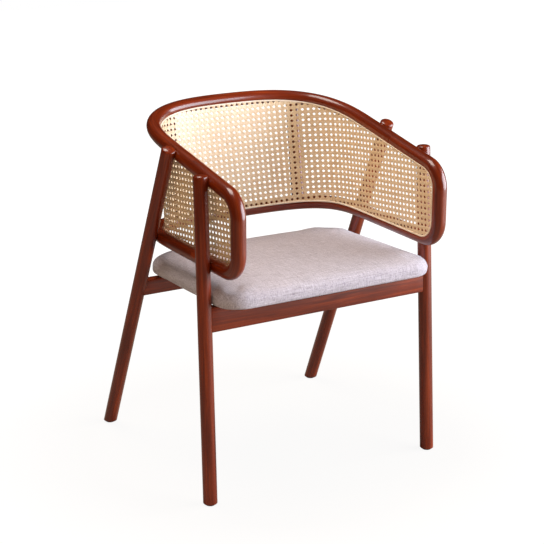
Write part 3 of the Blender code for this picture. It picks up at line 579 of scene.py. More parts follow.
def hoop_rail(name, line, way, number):
    guide = line_object(name + "_line", trimmed(line), way=way)
    stock_place = STOCK_SPACING * (RAIL_FIRST_STOCK + number)
    inputs = {"section": grooved_section, "stock_place": stock_place, "finish": STAINED_WOOD}
    mesh = made_by(BENT_RAIL, guide, name + "_steamed", **inputs)
    finished(name + "_steamed", mesh, STAINED_WOOD, "stained_wood", name)


groove_edge = math.asin(GROOVE_HALF_WIDTH / RAIL_RADIUS)
section_points = circle_points(RAIL_RADIUS, np.linspace(groove_edge, 2 * math.pi - groove_edge, RAIL_SIDES))
section_points += [(GROOVE_FLOOR, -GROOVE_HALF_WIDTH, 0), (GROOVE_FLOOR, GROOVE_HALF_WIDTH, 0)]
grooved_section = line_object("grooved_section", section_points, closed=True)
BENT_RAIL = bent_rail_tree()
(top_line, _, top_way), (low_line, _, low_way), (bend_line, _, bend_way) = hoop_lines(RAIL_STEP)
hoop_rail("back_top_rail", top_line, top_way, 0)
hoop_rail("back_bottom_rail", low_line, low_way, 1)
hoop_rail("front_bend_right", bend_line, bend_way, 2)
hoop_rail("front_bend_left", mirrored(bend_line), mirrored(bend_way), 3)
bpy.data.objects.remove(grooved_section)


# Stiles
# Two round posts of the same stained wood stand behind the cane and carry the top rail on the
# lower one. Each is coped to both rails and held by a dowel at each end.

STILE_RADIUS = 0.0140
STILE_X = BACK_HALF_WIDTH * 0.651
STILE_SIDES = 40
STILE_RINGS = 14
STILE_SINK = 0.004
STILE_SETBACK = 0.0030


def stile_end(sweep, side):
    """Where a stile's axis meets a rail's height, a little behind the rail's axis."""
    share = STILE_X / arm_half_width(sweep.start_y)
    y = sweep.start_y + sweep.depth * (1 - share**sweep.squareness) ** (1 / sweep.squareness)
    return Vector((side * STILE_X, y + STILE_SETBACK + HOOP_BACK, rail_height(sweep, STILE_X, y)))


def stile(name, side):
    low, top = stile_end(LOWER, side), stile_end(TOP, side)
    along = (top - low).normalized()
    places = np.linspace((top - low).length - STILE_SINK, STILE_SINK, STILE_RINGS)
    rings = [round_ring(low + along * place, along, STILE_RADIUS, STILE_SIDES) for place in places]
    round_post(name, [top - along * STILE_SINK, *rings, low + along * STILE_SINK], low, along)


stile("back_stile_left", -1)
stile("back_stile_right", 1)


# Woven cane
# One sheet of split rattan cane in the open eight-sided weave: pairs of strands upright and level,
# single ones on both slants. It is wetted, stretched round the hoop and pressed into the groove.

CANE_INWARD = 0.0134
CANE_TUCK = 0.0040
TUCK_DEPTH = 0.0014
TUCK_SLOPE = 1.3
TUCK_EASE = 0.0040
GUIDE_INSET = REED_INSET - CANE_TUCK
GUIDE_STEP = 0.0040
GUIDE_SWEEP_LENGTH = 0.36
GUIDE_EDGE = np.array([0, 0.012, 0.024, 0.036, 0.05])
GUIDE_ROWS = np.concatenate([GUIDE_EDGE, np.linspace(0.08, 0.92, 16), 1 - GUIDE_EDGE[::-1]])
GROOVE_LINE_STEP = 0.003
PAST_MIDDLE = 0.02

CELL = np.array((0.01245, 0.01138))
FIRST_HOLE = np.array((0.00365, 0.0108))
PAIR_HALF_GAP = 0.00165
PAIR_WIDTH = 0.00285
SLANT_WIDTH = 0.00330
STRAND_THICKNESS = 0.00062
STRAND_SIDES = 5
WEAVE_LIFT = 0.00032
SLANT_LIFT = 2.6

# Each strand has four points in a cell. Between its knots, a straight one has two at these shares
STATIONS = 4
CLEAR_SHARES = (0.32, 0.68)


def bend_heights(back, inset):
    """The lower and upper edge of the sheet at a distance behind the hoop's front."""
    edge = bend_outline(inset)
    top_centre = edge[BEND_STEPS + 1][1]
    low = LOWER_HEIGHT + inset
    high = edge[0][1] + (back - edge[0][0]) * ARM_RISE * math.cos(TOE)
    if back < edge[1][0]:
        high = top_centre + math.sqrt(max((ARM_BEND_RADIUS - inset) ** 2 - (back - ARM_BEND_RADIUS) ** 2, 0))
    if back < LOWER_BEND_RADIUS:
        reach = math.sqrt(max((LOWER_BEND_RADIUS - inset) ** 2 - (back - LOWER_BEND_RADIUS) ** 2, 0))
        low = LOWER_HEIGHT + LOWER_BEND_RADIUS - reach
    return low, high


def sheet_columns(inset):
    """Columns of the sheet in the hoop's surface from the right front to the middle of the back,
    each as its lower end, its upper end and the way in to the hoop at both."""
    reach = ARM_BEND_RADIUS - inset
    backs = [ARM_BEND_RADIUS - reach * math.cos(turn) for turn in np.linspace(0, math.pi / 2, BEND_STEPS)]
    sweep_back = (LOWER.start_y - ARM_FRONT_Y) / math.cos(TOE)
    count = round((sweep_back - backs[-1]) / GUIDE_STEP)
    backs += list(np.linspace(backs[-1], sweep_back, count + 1)[1:-1])
    columns = []
    for back in backs:
        low, high = bend_heights(back, inset)
        columns.append((in_arm(back, low), in_arm(back, high), ARM_NORMAL, ARM_NORMAL))
    count = round(GUIDE_SWEEP_LENGTH / GUIDE_STEP)
    drop = inset * math.hypot(1, ARM_RISE)
    for low, low_in, top, top_in in zip(*sweep_points(LOWER, count), *sweep_points(TOP, count)):
        columns.append((low + (0, 0, inset), top - (0, 0, drop), low_in, top_in))
    return columns


def beside(low, top, from_low, from_top):
    """The point to the right of an edge at the given distances from its two ends."""
    length = np.linalg.norm(top - low)
    edge = (top - low) / length
    up = (from_low**2 - from_top**2 + length**2) / (2 * length)
    out = math.sqrt(max(from_low**2 - up**2, 0))
    return low + edge * up + np.array((edge[1], -edge[0])) * out


def unrolled(lows, tops):
    """Where each column's two ends lie when the sheet is laid flat from the middle of the back."""
    flat = [(np.array((0.0, 0.0)), np.array((0.0, np.linalg.norm(tops[0] - lows[0]))))]
    for low, top, *following in zip(lows, tops, lows[1:], tops[1:]):
        distances = [(np.linalg.norm(end - low), np.linalg.norm(end - top)) for end in following]
        flat.append([beside(*flat[-1], *pair) for pair in distances])
    return np.array(flat).transpose(1, 0, 2)


def groove_loop(step):
    """The rails' axis once round the hoop, with the way in and the way that the groove faces."""
    loops = []
    for top, low, bend in zip(*hoop_lines(step)):
        right = bend[1:-1]
        loops.append(np.concatenate([top, right, low[::-1], mirrored(right)[::-1]]))
    return loops


def inside_groove(point, way):
    """Whether a point of the sheet is within the groove's line."""
    x, y, z = point - way * CANE_INWARD
    if y >= LOWER.start_y:
        return LOWER_HEIGHT + REED_INSET < z < rail_height(TOP, x, y) - REED_INSET
    back = (y - ARM_FRONT_Y) / math.cos(TOE)
    if back <= REED_INSET:
        return False
    low, high = bend_heights(back, REED_INSET)
    return low < z < high


def between_edges(low, top):
    """Rows of points from the lower to the upper edge, column by column."""
    rows = low[:, None] + (top - low)[:, None] * GUIDE_ROWS[:, None]
    return rows.reshape(-1, low.shape[1])


def half_sheet():
    """The sheet's middle surface from the back to the right front, tucked into the rails past the
    groove: its points, their places in the flat sheet, and the way in at each."""
    low, top, low_in, top_in = (np.array(ends) for ends in zip(*sheet_columns(GUIDE_INSET)[::-1]))
    low = low + low_in * CANE_INWARD
    top = top + top_in * CANE_INWARD
    points = between_edges(low, top)
    layout = between_edges(*unrolled(low, top))
    ways = unit(between_edges(low_in, top_in))
    line, inward, way = groove_loop(GROOVE_LINE_STEP)
    line = line + way * REED_REACH + inward * (CANE_INWARD - REED_INWARD)
    line = line[line[:, 0] >= -PAST_MIDDLE]
    distance = np.array([np.linalg.norm(line - point, axis=1).min() for point in points])
    inner = np.array([inside_groove(point, way) for point, way in zip(points, ways)])
    eased = np.clip(1 - distance / TUCK_EASE, 0, 1)
    dive = np.where(inner, TUCK_DEPTH * eased**2 * (3 - 2 * eased), TUCK_DEPTH + TUCK_SLOPE * distance)
    return points - ways * dive[:, None], layout, ways


def guide_sheet():
    """The whole sheet's middle surface with its flat layout as UV, and that layout."""
    points, layout, ways = half_sheet()
    rows = len(GUIDE_ROWS)
    right = np.arange(len(points)).reshape(-1, rows)
    left = np.concatenate([right[:1], right[1:] + len(points) - rows])
    points = np.concatenate([points, mirrored(points[rows:])])
    layout = np.concatenate([layout, layout[rows:] * (-1, 1)])
    ways = np.concatenate([ways, mirrored(ways[rows:])])
    faces = []
    for grid, order in ((right, 1), (left, -1)):
        corners = np.stack([grid[:-1, :-1], grid[1:, :-1], grid[1:, 1:], grid[:-1, 1:]], axis=-1)
        faces += corners.reshape(-1, 4)[:, ::order].tolist()
    mesh = bpy.data.meshes.new("cane_guide")
    mesh.from_pydata(points.tolist(), [], faces)
    mesh.uv_layers.new(name="flat").data.foreach_set("uv", layout[np.array(faces).ravel()].ravel())
    keep_vectors(mesh, "inward", ways)
    return placed("cane_guide", mesh), layout


def woven_tree():
    """Runs strands across the flat sheet, lifts them over and under each other, lays them on the
    guide and gives them their section. Strands in pairs have opposite lifts."""
    sockets = [("Guide", "Object"), ("First", "Vector"), ("Between", "Vector"), ("Cell run", "Vector")]
    sockets += [("Strands", "Int"), ("Cells", "Int"), ("In pair", "Int"), ("Pair gap", "Vector")]
    sockets += [(f"{label} {n}", "Float") for label in ("Station", "Lift") for n in range(STATIONS)]
    sockets += [("Width", "Float"), ("Thickness", "Float"), ("Finish", "Material")]
    tree, given = tree_with("woven_strands", sockets)

    def calc(operation, *values):
        return math_node(tree, operation, *values)

    def whole_part(number, divisor):
        """How many times the divisor goes into a whole number."""
        return calc("FLOOR", calc("DIVIDE", calc("ADD", number, 0.5), divisor))

    def remainder(number, times, divisor):
        return calc("SUBTRACT", number, calc("MULTIPLY", times, divisor))

    def vector(operation, first, second):
        key = "Scale" if operation == "SCALE" else 1
        return add(tree, "ShaderNodeVectorMath", {0: first, key: second}, operation=operation).outputs[0]

    def deleted(geometry, selection, domain, mode):
        inputs = {"Geometry": geometry, "Selection": selection}
        return add(tree, "GeometryNodeDeleteGeometry", inputs, domain=domain, mode=mode).outputs[0]

    # A grid with a column for each strand, without its faces and the edges between strands
    per_strand = calc("MULTIPLY", given["Cells"], float(STATIONS))
    grid_inputs = {"Vertices X": given["Strands"], "Vertices Y": per_strand}
    grid = add(tree, "GeometryNodeMeshGrid", grid_inputs).outputs["Mesh"]
    index = tree.nodes.new("GeometryNodeInputIndex").outputs[0]
    strand = whole_part(index, per_strand)
    grid = keep(tree, grid, "strand", strand)
    grid = keep(tree, grid, "station", remainder(index, strand, per_strand))
    ends = tree.nodes.new("GeometryNodeInputMeshEdgeVertices").outputs
    apart = calc("SUBTRACT", *(whole_part(end, per_strand) for end in ends[:2]))
    lines = deleted(grid, True, "FACE", "ONLY_FACE")
    lines = deleted(lines, calc("GREATER_THAN", calc("ABSOLUTE", apart), 0.5), "EDGE", "EDGE_FACE")

    strand = kept(tree, "strand")
    station = kept(tree, "station")
    cell = whole_part(station, float(STATIONS))
    phase = remainder(station, cell, float(STATIONS))

    def chosen(label):
        """The station's own one of the four values with this name."""
        switch = add(tree, "GeometryNodeIndexSwitch", data_type="FLOAT")
        for _ in range(STATIONS - 2):
            switch.index_switch_items.new()
        values = [given[f"{label} {n}"] for n in range(STATIONS)]
        for key, value in enumerate([calc("ROUND", phase), *values]):
            tree.links.new(value, switch.inputs[key])
        return switch.outputs[0]

    group = whole_part(strand, given["In pair"])
    member = remainder(strand, group, given["In pair"])
    sign = calc("SUBTRACT", calc("MULTIPLY", member, 2.0), 1.0)
    place = vector("ADD", given["First"], vector("SCALE", given["Between"], group))
    place = vector("ADD", place, vector("SCALE", given["Pair gap"], sign))
    travelled = calc("ADD", cell, chosen("Station"))
    place = vector("ADD", place, vector("SCALE", given["Cell run"], travelled))
    run_length = add(tree, "ShaderNodeVectorMath", {0: given["Cell run"]}, operation="LENGTH")
    lines = keep(tree, lines, "along", calc("MULTIPLY", travelled, run_length.outputs["Value"]))

    guide = add(tree, "GeometryNodeObjectInfo", {"Object": given["Guide"]}).outputs["Geometry"]
    layout = kept(tree, "flat", "FLOAT_VECTOR")

    def on_sheet(value):
        inputs = {"Mesh": guide, "Value": value, "Source UV Map": layout, "Sample UV": place}
        return add(tree, "GeometryNodeSampleUVSurface", inputs, data_type="FLOAT_VECTOR").outputs

    surface = on_sheet(position(tree))
    inward = on_sheet(kept(tree, "inward", "FLOAT_VECTOR"))["Value"]
    lines = keep(tree, lines, "on_sheet", surface["Is Valid"])
    lines = keep(tree, lines, "inward", inward, "FLOAT_VECTOR")
    lines = keep(tree, lines, "lift", calc("MULTIPLY", chosen("Lift"), sign))
    lines = add(tree, "GeometryNodeSetPosition", {"Geometry": lines, "Position": surface["Value"]}).outputs[0]
    lines = deleted(lines, calc("LESS_THAN", kept(tree, "on_sheet"), 0.5), "POINT", "ALL")
    way = kept(tree, "inward", "FLOAT_VECTOR")
    raised = vector("SCALE", way, kept(tree, "lift"))
    lines = add(tree, "GeometryNodeSetPosition", {"Geometry": lines, "Offset": raised}).outputs[0]

    curve = add(tree, "GeometryNodeMeshToCurve", {"Mesh": lines}).outputs[0]
    round_inputs = {"Resolution": STRAND_SIDES, "Radius": 0.5}
    circle = add(tree, "GeometryNodeCurvePrimitiveCircle", round_inputs).outputs[0]
    size = combined(tree, given["Thickness"], given["Width"], 1.0)
    section = add(tree, "GeometryNodeTransform", {"Geometry": circle, "Scale": size}).outputs[0]
    side = separated(tree, kept(tree, "section", "FLOAT_VECTOR"))[1]
    woven = swept(tree, curve, way, section, (side, kept(tree, "strand"), kept(tree, "along")))
    return finish_tree(tree, woven, given["Finish"])


def cane_figure():
    """Split cane: a colour for each strand, with fibres and darker marks along it."""
    group, place = figure_group("cane_fibres")
    tones = noise(group, place, (0, 3.7, 1.5), 0.0)
    drift = noise(group, place, (40, 3.1, 28))
    fibres = noise(group, place, (4200, 5.3, 70), 2.0, 0.6)
    marks = noise(group, place, (300, 7.9, 170), 1.0)
    dark, middle, light = (0.840, 0.590, 0.330), (0.900, 0.670, 0.415), (0.930, 0.750, 0.515)
    strand = ramp(group, tones, (0.25, dark), (0.50, middle), (0.75, light))
    drifts = ramp(group, drift, (0.3, (0.34, 0.30, 0.27)), (0.7, (0.72, 0.72, 0.70)))
    fine = ramp(group, fibres, (0.30, (0.76, 0.71, 0.64)), (0.60, (1, 1, 1)))
    spots = ramp(group, marks, (0.24, (0.62, 0.48, 0.36)), (0.34, (1, 1, 1)))
    colour = mixed(group, 0.35, strand, drifts, "OVERLAY")
    colour = mixed(group, 0.8, colour, fine, "MULTIPLY")
    colour = mixed(group, 0.7, colour, spots, "MULTIPLY")
    roughness = math_node(group, "MULTIPLY_ADD", fibres, 0.2, 0.40)
    return put_out(group, Color=colour, Roughness=roughness, Height=fibres)


CANE_FIGURE = cane_figure()
CANE_SHINE = {"Coat_Roughness": 0.5, "Coat_IOR": 1.9}
WOVEN_CANE = grained("woven_cane", CANE_FIGURE, 0.00005, Coat_Weight=1.0, **CANE_SHINE)

guide, layout = guide_sheet()
WOVEN = woven_tree()
to_right, to_top = CELL * (1, 0), CELL * (0, 1)

# The flat sheet begins GUIDE_INSET above the lower rail's axis, and holes lie midway between knots
knot = FIRST_HOLE - (0, GUIDE_INSET) - CELL / 2
knot = knot + (np.floor((layout.min(0) - knot) / CELL) - 1) * CELL
across_cells, up_cells = (int(cells) for cells in np.ceil(np.ptp(layout, axis=0) / CELL) + 3)


def strands(name, first, between, run, counts, width, gap, stations, lifts):
    """One family of strands: the first one's start, the steps to the next one and to the next cell,
    how many there are and how many cells each crosses, and its width, gap in a pair, stations and lifts."""
    vectors = {"first": first, "between": between, "cell_run": run, "pair_gap": gap}
    values = {key: (float(vector[0]), float(vector[1]), 0.0) for key, vector in vectors.items()}
    for number in range(STATIONS):
        values[f"station_{number}"] = stations[number]
        values[f"lift_{number}"] = lifts[number] * WEAVE_LIFT
    values |= {"strands": counts[0], "cells": counts[1], "in_pair": 2 if any(gap) else 1}
    values |= {"guide": guide, "width": width, "thickness": STRAND_THICKNESS, "finish": WOVEN_CANE}
    mesh = made_by(WOVEN, line_object(name + "_start", [(0, 0, 0)]), name, **values)
    finished(name, mesh, WOVEN_CANE, "woven_cane", "cane_panel")


for name, between, run, counts, lift in (
    ("cane_uprights", to_right, to_top, (2 * across_cells, up_cells), -1.0),
    ("cane_levels", to_top, to_right, (2 * up_cells, across_cells), 1.0),
):
    gap = between / np.linalg.norm(between) * PAIR_HALF_GAP
    knot_half = float(PAIR_HALF_GAP / np.linalg.norm(run))
    stations = (-knot_half, knot_half, *CLEAR_SHARES)
    strands(name, knot, between, run, counts, PAIR_WIDTH, gap, stations, (lift, -lift, 0.0, 0.0))

counts = (across_cells + up_cells, up_cells)
for name, start, run, lift in (
    ("cane_slants_left", knot - up_cells * to_right, to_top + to_right, -SLANT_LIFT),
    ("cane_slants_right", knot, to_top - to_right, SLANT_LIFT),
):
    stations = (0.0, 0.25, 0.5, 0.75)
    lifts = (lift, 0.0, -lift, 0.0)
    strands(name, start + to_right / 2, to_right, run, counts, SLANT_WIDTH, (0, 0), stations, lifts)
bpy.data.objects.remove(guide)


# Reed
# A round reed is hammered into the groove over the cane's edge, once round the hoop, and glued. It
# shows the same fibres as the cane.

REED_RADIUS = 0.0021
REED_SIDES = 14
REED_STEP = 0.004
REED = grained("reed", CANE_FIGURE, 0.00005, (1.04, 1.20, 1.60), Coat_Weight=0.3, **CANE_SHINE)

reed_turns = np.linspace(0, 2 * math.pi, REED_SIDES, endpoint=False)
reed_section = line_object("reed_section", circle_points(REED_RADIUS, reed_turns), closed=True)
reed_line, _, reed_way = groove_loop(REED_STEP)
reed_guide = line_object("reed_line", reed_line + reed_way * REED_REACH, closed=True, way=reed_way)
reed = made_by(BENT_RAIL, reed_guide, "reed_edge", section=reed_section, stock_place=0.0, finish=REED)
finished("reed_edge", reed, REED, "reed", "cane_spline")
bpy.data.objects.remove(reed_section)


# Seat rails
# A deep rail across the front legs and a slimmer one across the rear legs carry the seat, with a
# batten on the rear one. They are sawn from the same wood, with eased edges, and dowelled.

SEAT_FRONT_Y = -FOOT_SPACING / 2 - 0.0450
SEAT_FRONT_HEIGHT = 0.4056
SEAT_TILT = math.radians(2.21)
SEAT_TURN = Matrix.Rotation(-SEAT_TILT, 4, "X")
SEAT_FRAME = Matrix.Translation((0, SEAT_FRONT_Y + HOOP_BACK, SEAT_FRONT_HEIGHT)) @ SEAT_TURN
EASED_EDGE = 0.0022
EASED_STEPS = 4
LONG_EDGE = 0.2
LENGTH_CUTS = 24
REAR_RAIL_HEIGHT = 0.0330


def seat_timber(name, thickness, height):
    """A sawn rail in the seat's tilt, centred where its CAD node is."""
    low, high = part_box(name)
    body = bmesh.new()
    bmesh.ops.create_cube(body, size=1)
    bmesh.ops.scale(body, vec=(high.x - low.x, thickness, height), verts=body.verts)
    rounding = {"offset": EASED_EDGE, "segments": EASED_STEPS, "affect": "EDGES", "profile": 0.5}
    bmesh.ops.bevel(body, geom=body.edges[:], **rounding)
    long_edges = [edge for edge in body.edges if abs(edge.verts[0].co.x - edge.verts[1].co.x) > LONG_EDGE]
    bmesh.ops.subdivide_edges(body, edges=long_edges, cuts=LENGTH_CUTS)
    mesh = bpy.data.meshes.new(name + "_sawn")
    body.to_mesh(mesh)
    body.free()
    set_grain(mesh, [(vertex.co.y, vertex.co.z, vertex.co.x) for vertex in mesh.vertices])
    mesh.transform(Matrix.Translation((low + high) / 2) @ SEAT_TURN)
    finished(name + "_sawn", mesh, STAINED_WOOD, "stained_wood", name)


seat_timber("front_seat_rail", 0.0200, 0.0500)
seat_timber("rear_seat_rail", 0.0210, REAR_RAIL_HEIGHT)
seat_timber("rear_seat_batten", 0.0180, 0.0143)


# Seat cushion
# A thin pad of foam on a board, crowned on top and rolled round its edge, in a heathered linen
# weave that is pulled under the board and stapled. The board lies in a recess under it.

CUSHION_THICKNESS = 0.0340
CUSHION_CROWN = 0.0060
PAD_CROWN = 0.9 * CUSHION_CROWN
CUSHION_EDGE = 0.0215
CUSHION_LOWER_EDGE = 0.0080
CUSHION_WIDEST_SHARE = 0.38
OUTLINE_STEPS = 240
CORNER_STEPS = 24
SEAT_REAR_OVERHANG = 0.0320
SEAT_TAPER = 0.0043
SEAT_FRONT_CORNER = 0.052
SEAT_REAR_CORNER = 0.066
SEAT_LEG_CLEARANCE = 0.0008
REAR_RAIL_DROP = 0.0157
BOARD_INSET = 0.0165
BOARD_RECESS = 0.0123
RECESS_GAP = 0.0003

# How far the pad lies inside the CAD cushion: under its top, and in from its plan. The cover that is
# blown up starts outside the plan instead.
PAD_TOP_GAP = 0.0008
BLOWN_PAD_INSET = -0.0020
PAD_TOP_SHARES = np.linspace(0.06, 0.94, 15)
PAD_EDGE_TURNS = np.linspace(0, math.pi / 2, 12)
PAD_LOWER_TURNS = np.linspace(0, math.pi / 2, 9)
PAD_RECESS_SHARES = (0.8, 0.5, 0.2)
PAD_VOXEL = 0.0050
PAD_SWELL = 0.0025
PAD_PRESSURE = 4.0
PAD_QUALITY = 5
PAD_FRAMES = 20
PAD_HELD_BELOW = 0.0035


def leg_at(name, height):
    """A leg's axis at a height."""
    foot, along, _ = leg_axis(name)
    return foot + along * (height / along.z)


beside_rear_rail = leg_at("leg_rear_right", SEAT_FRONT_HEIGHT - REAR_RAIL_DROP - REAR_RAIL_HEIGHT / 2)
beside_cushion = leg_at("leg_front_right", SEAT_FRONT_HEIGHT + CUSHION_THICKNESS / 2)
SEAT_DEPTH = (beside_rear_rail.y + SEAT_REAR_OVERHANG - SEAT_FRONT_Y - HOOP_BACK) / math.cos(SEAT_TILT)
LEG_SHARE = (beside_cushion.y - SEAT_FRONT_Y - HOOP_BACK) / SEAT_DEPTH
SEAT_FRONT_HALF_WIDTH = beside_cushion.x - LEG_RADIUS - SEAT_LEG_CLEARANCE + SEAT_TAPER * LEG_SHARE
SEAT_REAR_HALF_WIDTH = SEAT_FRONT_HALF_WIDTH - SEAT_TAPER
SEAT_CENTRE = np.array((0, SEAT_DEPTH / 2))


def seat_outline(inset, count=OUTLINE_STEPS):
    """The seat's plan moved in by the inset, at even steps anticlockwise."""
    slope = math.atan2(SEAT_TAPER, SEAT_DEPTH)
    right = []
    for half, y, radius, first, turn in (
        (SEAT_FRONT_HALF_WIDTH, 0, SEAT_FRONT_CORNER, -math.pi / 2, math.pi / 2 + slope),
        (SEAT_REAR_HALF_WIDTH, SEAT_DEPTH, SEAT_REAR_CORNER, slope, math.pi / 2 - slope),
    ):
        centre_y = SEAT_DEPTH - radius if y else radius
        centre_x = half + (y - centre_y) * math.tan(slope) - radius / math.cos(slope)
        reach = radius - inset
        for angle in np.linspace(first, first + turn, CORNER_STEPS):
            right.append((centre_x + reach * math.cos(angle), centre_y + reach * math.sin(angle)))
    right = np.array(right)
    loop = np.concatenate([right, right[::-1] * (-1, 1), right[:1]])
    length = np.concatenate([[0], np.cumsum(np.linalg.norm(np.diff(loop, axis=0), axis=1))])
    even = np.linspace(0, length[-1], count, endpoint=False)
    return np.stack([np.interp(even, length, loop[:, 0]), np.interp(even, length, loop[:, 1])], axis=1)


def drawn_in(plan, share):
    """A plan drawn in towards the seat's middle."""
    return SEAT_CENTRE + (plan - SEAT_CENTRE) * share


def seat_skin(name, top, rings, low):
    """A closed skin over plans at their heights, in the seat's tilt. Its ends are points in the
    seat's middle at the heights top and low."""
    skin = [[Vector((*point, height)) for point in plan] for plan, height in rings]
    mesh = ring_mesh(name, [Vector((*SEAT_CENTRE, top)), *skin, Vector((*SEAT_CENTRE, low))])
    mesh.transform(SEAT_FRAME)
    return mesh


def pad_mesh(pad_inset):
    """The pad's skin as rings from the middle of the top, over the edge and into the recess."""
    top = CUSHION_THICKNESS - PAD_TOP_GAP
    widest = top * CUSHION_WIDEST_SHARE
    rings = []
    for share in PAD_TOP_SHARES:
        plan = drawn_in(seat_outline(pad_inset + CUSHION_EDGE), share)
        rings.append((plan, top + PAD_CROWN * (1 - share**2)))
    for turn in PAD_EDGE_TURNS[::-1]:
        inset = pad_inset + CUSHION_EDGE * (1 - math.cos(turn))
        rings.append((seat_outline(inset), widest + (top - widest) * math.sin(turn)))
    for turn in PAD_LOWER_TURNS[1:-1]:
        inset = pad_inset + CUSHION_LOWER_EDGE * (1 - math.cos(turn))
        rings.append((seat_outline(inset), widest * (1 - math.sin(turn))))
    for height in (0, BOARD_RECESS):
        rings.append((seat_outline(BOARD_INSET - RECESS_GAP), height))
    for share in PAD_RECESS_SHARES:
        rings.append((drawn_in(seat_outline(BOARD_INSET), share), BOARD_RECESS))
    return seat_skin("seat_pad", top + PAD_CROWN, rings, BOARD_RECESS)


def held_by_board(point):
    """Whether a point of the cover is pulled under the board or lies in the board's recess."""
    if point.z < PAD_HELD_BELOW:
        return True
    reach = SEAT_FRONT_HALF_WIDTH - BOARD_INSET - PAD_VOXEL / 2
    depth = BOARD_INSET + PAD_VOXEL / 2
    under = point.z <= BOARD_RECESS + PAD_VOXEL / 2
    return under and abs(point.x) < reach and depth < point.y < SEAT_DEPTH - depth


def swollen(mesh):
    """The pad's cover blown up by its foam: held where the board holds it, and free to move a little
    everywhere else."""
    pad = placed("pad_in_cloth", mesh)
    remesh = pad.modifiers.new("Voxels", "REMESH")
    remesh.mode = "VOXEL"
    remesh.voxel_size = PAD_VOXEL
    plain = evaluated_mesh(pad)
    pad.modifiers.remove(remesh)
    pad.data = plain
    to_seat = SEAT_FRAME.inverted()
    held = [vertex.index for vertex in plain.vertices if held_by_board(to_seat @ vertex.co)]
    pad.vertex_groups.new(name="held").add(held, 1.0, "REPLACE")
    cloth = pad.modifiers.new("Cover", "CLOTH")
    cloth.settings.use_pressure = True
    cloth.settings.uniform_pressure_force = PAD_PRESSURE
    cloth.settings.effector_weights.gravity = 0
    cloth.settings.vertex_group_mass = "held"
    cloth.settings.quality = PAD_QUALITY
    cloth.collision_settings.use_collision = False
    cloth.point_cache.frame_end = PAD_FRAMES
    scene = bpy.context.scene
    scene.frame_end = PAD_FRAMES
    for number in range(1, PAD_FRAMES + 1):
        scene.frame_set(number)
    blown = pad.evaluated_get(bpy.context.evaluated_depsgraph_get()).data
    before = np.array([vertex.co for vertex in plain.vertices])
    moved = np.array([vertex.co for vertex in blown.vertices]) - before
    far = np.linalg.norm(moved, axis=1, keepdims=True)
    capped = before + moved * np.minimum(1, PAD_SWELL / np.maximum(far, 1e-9))
    pad.modifiers.remove(cloth)
    scene.frame_set(1)
    plain.vertices.foreach_set("co", capped.ravel())
    plain.update()
    pad.modifiers.new("Finer", "SUBSURF").levels = 1
    fine = evaluated_mesh(pad)
    bpy.data.objects.remove(pad)
    fine.name = "seat_pad"
    return fine


def solid_material(name, **settings):
    """A material, its tree, its shader and each point's place in the object."""
    made, tree, shader = new_material(name, **settings)
    return made, tree, shader, tree.nodes.new("ShaderNodeTexCoord").outputs["Object"]


def linen():
    """Heathered linen: a plain weave of wavering threads, slubs along both of them, dark flecks and a
    soft sheen."""
    made, tree, shader, place = solid_material("linen", Roughness=0.9, Sheen_Weight=0.25, Sheen_Roughness=0.5)
    waver = math_node(tree, "MULTIPLY", noise(tree, place, (70, 70, 70)), THREAD_WAVER)
    slub_across = noise(tree, place, (26, 900, 900), 3.0, 0.6)
    slub_along = noise(tree, place, (900, 26, 90), 3.0, 0.6)
    threads = []
    for axis in (0, 1):
        turns = math_node(tree, "MULTIPLY", separated(tree, place)[axis], 2 * math.pi / THREAD_SPACING)
        threads.append(math_node(tree, "SINE", math_node(tree, "ADD", turns, waver)))
    rise = math_node(tree, "MULTIPLY", *threads)
    heather = math_node(tree, "MULTIPLY", slub_across, 0.55)
    heather = math_node(tree, "MULTIPLY_ADD", slub_along, 0.45, heather)
    dark, middle, light = (0.390, 0.345, 0.380), (0.530, 0.485, 0.535), (0.675, 0.635, 0.695)
    colour = ramp(tree, heather, (0.38, dark), (0.50, middle), (0.62, light))
    weave = math_node(tree, "MULTIPLY_ADD", rise, 0.5, 0.5)
    weave = ramp(tree, weave, (0.0, (0.84, 0.82, 0.82)), (0.8, (1, 1, 1)))
    flecks = noise(tree, place, (420, 420, 260), 2.0, 0.7)
    flecks = ramp(tree, flecks, (0.36, (0.60, 0.57, 0.64)), (0.50, (0.98, 0.98, 0.98)), (0.66, (1, 1, 1)))
    colour = mixed(tree, 0.8, colour, weave, "MULTIPLY")
    colour = mixed(tree, 0.75, colour, flecks, "MULTIPLY")
    dress(tree, shader, colour, math_node(tree, "MULTIPLY_ADD", heather, 1.4, rise), 0.00022, 0.7)
    return made


THREAD_SPACING = 0.00105
THREAD_WAVER = 9.0
cover = swollen(pad_mesh(BLOWN_PAD_INSET))
pad = finished("seat_pad", cover, linen(), "linen", "seat_cushion")


# Seat board and dust cover
# The cushion's plywood board, and under it a thin black cloth, cut a little larger than the board,
# that is pulled flat and stapled to it all round.

PLY_PAIR = 0.0024
COVER_INSET = 0.0145
COVER_THICKNESS = 0.0006
COVER_TOP = -0.0004
COVER_SAG = 0.0003
COVER_STEPS = 160
COVER_SHARES = np.linspace(0.05, 1, 20)


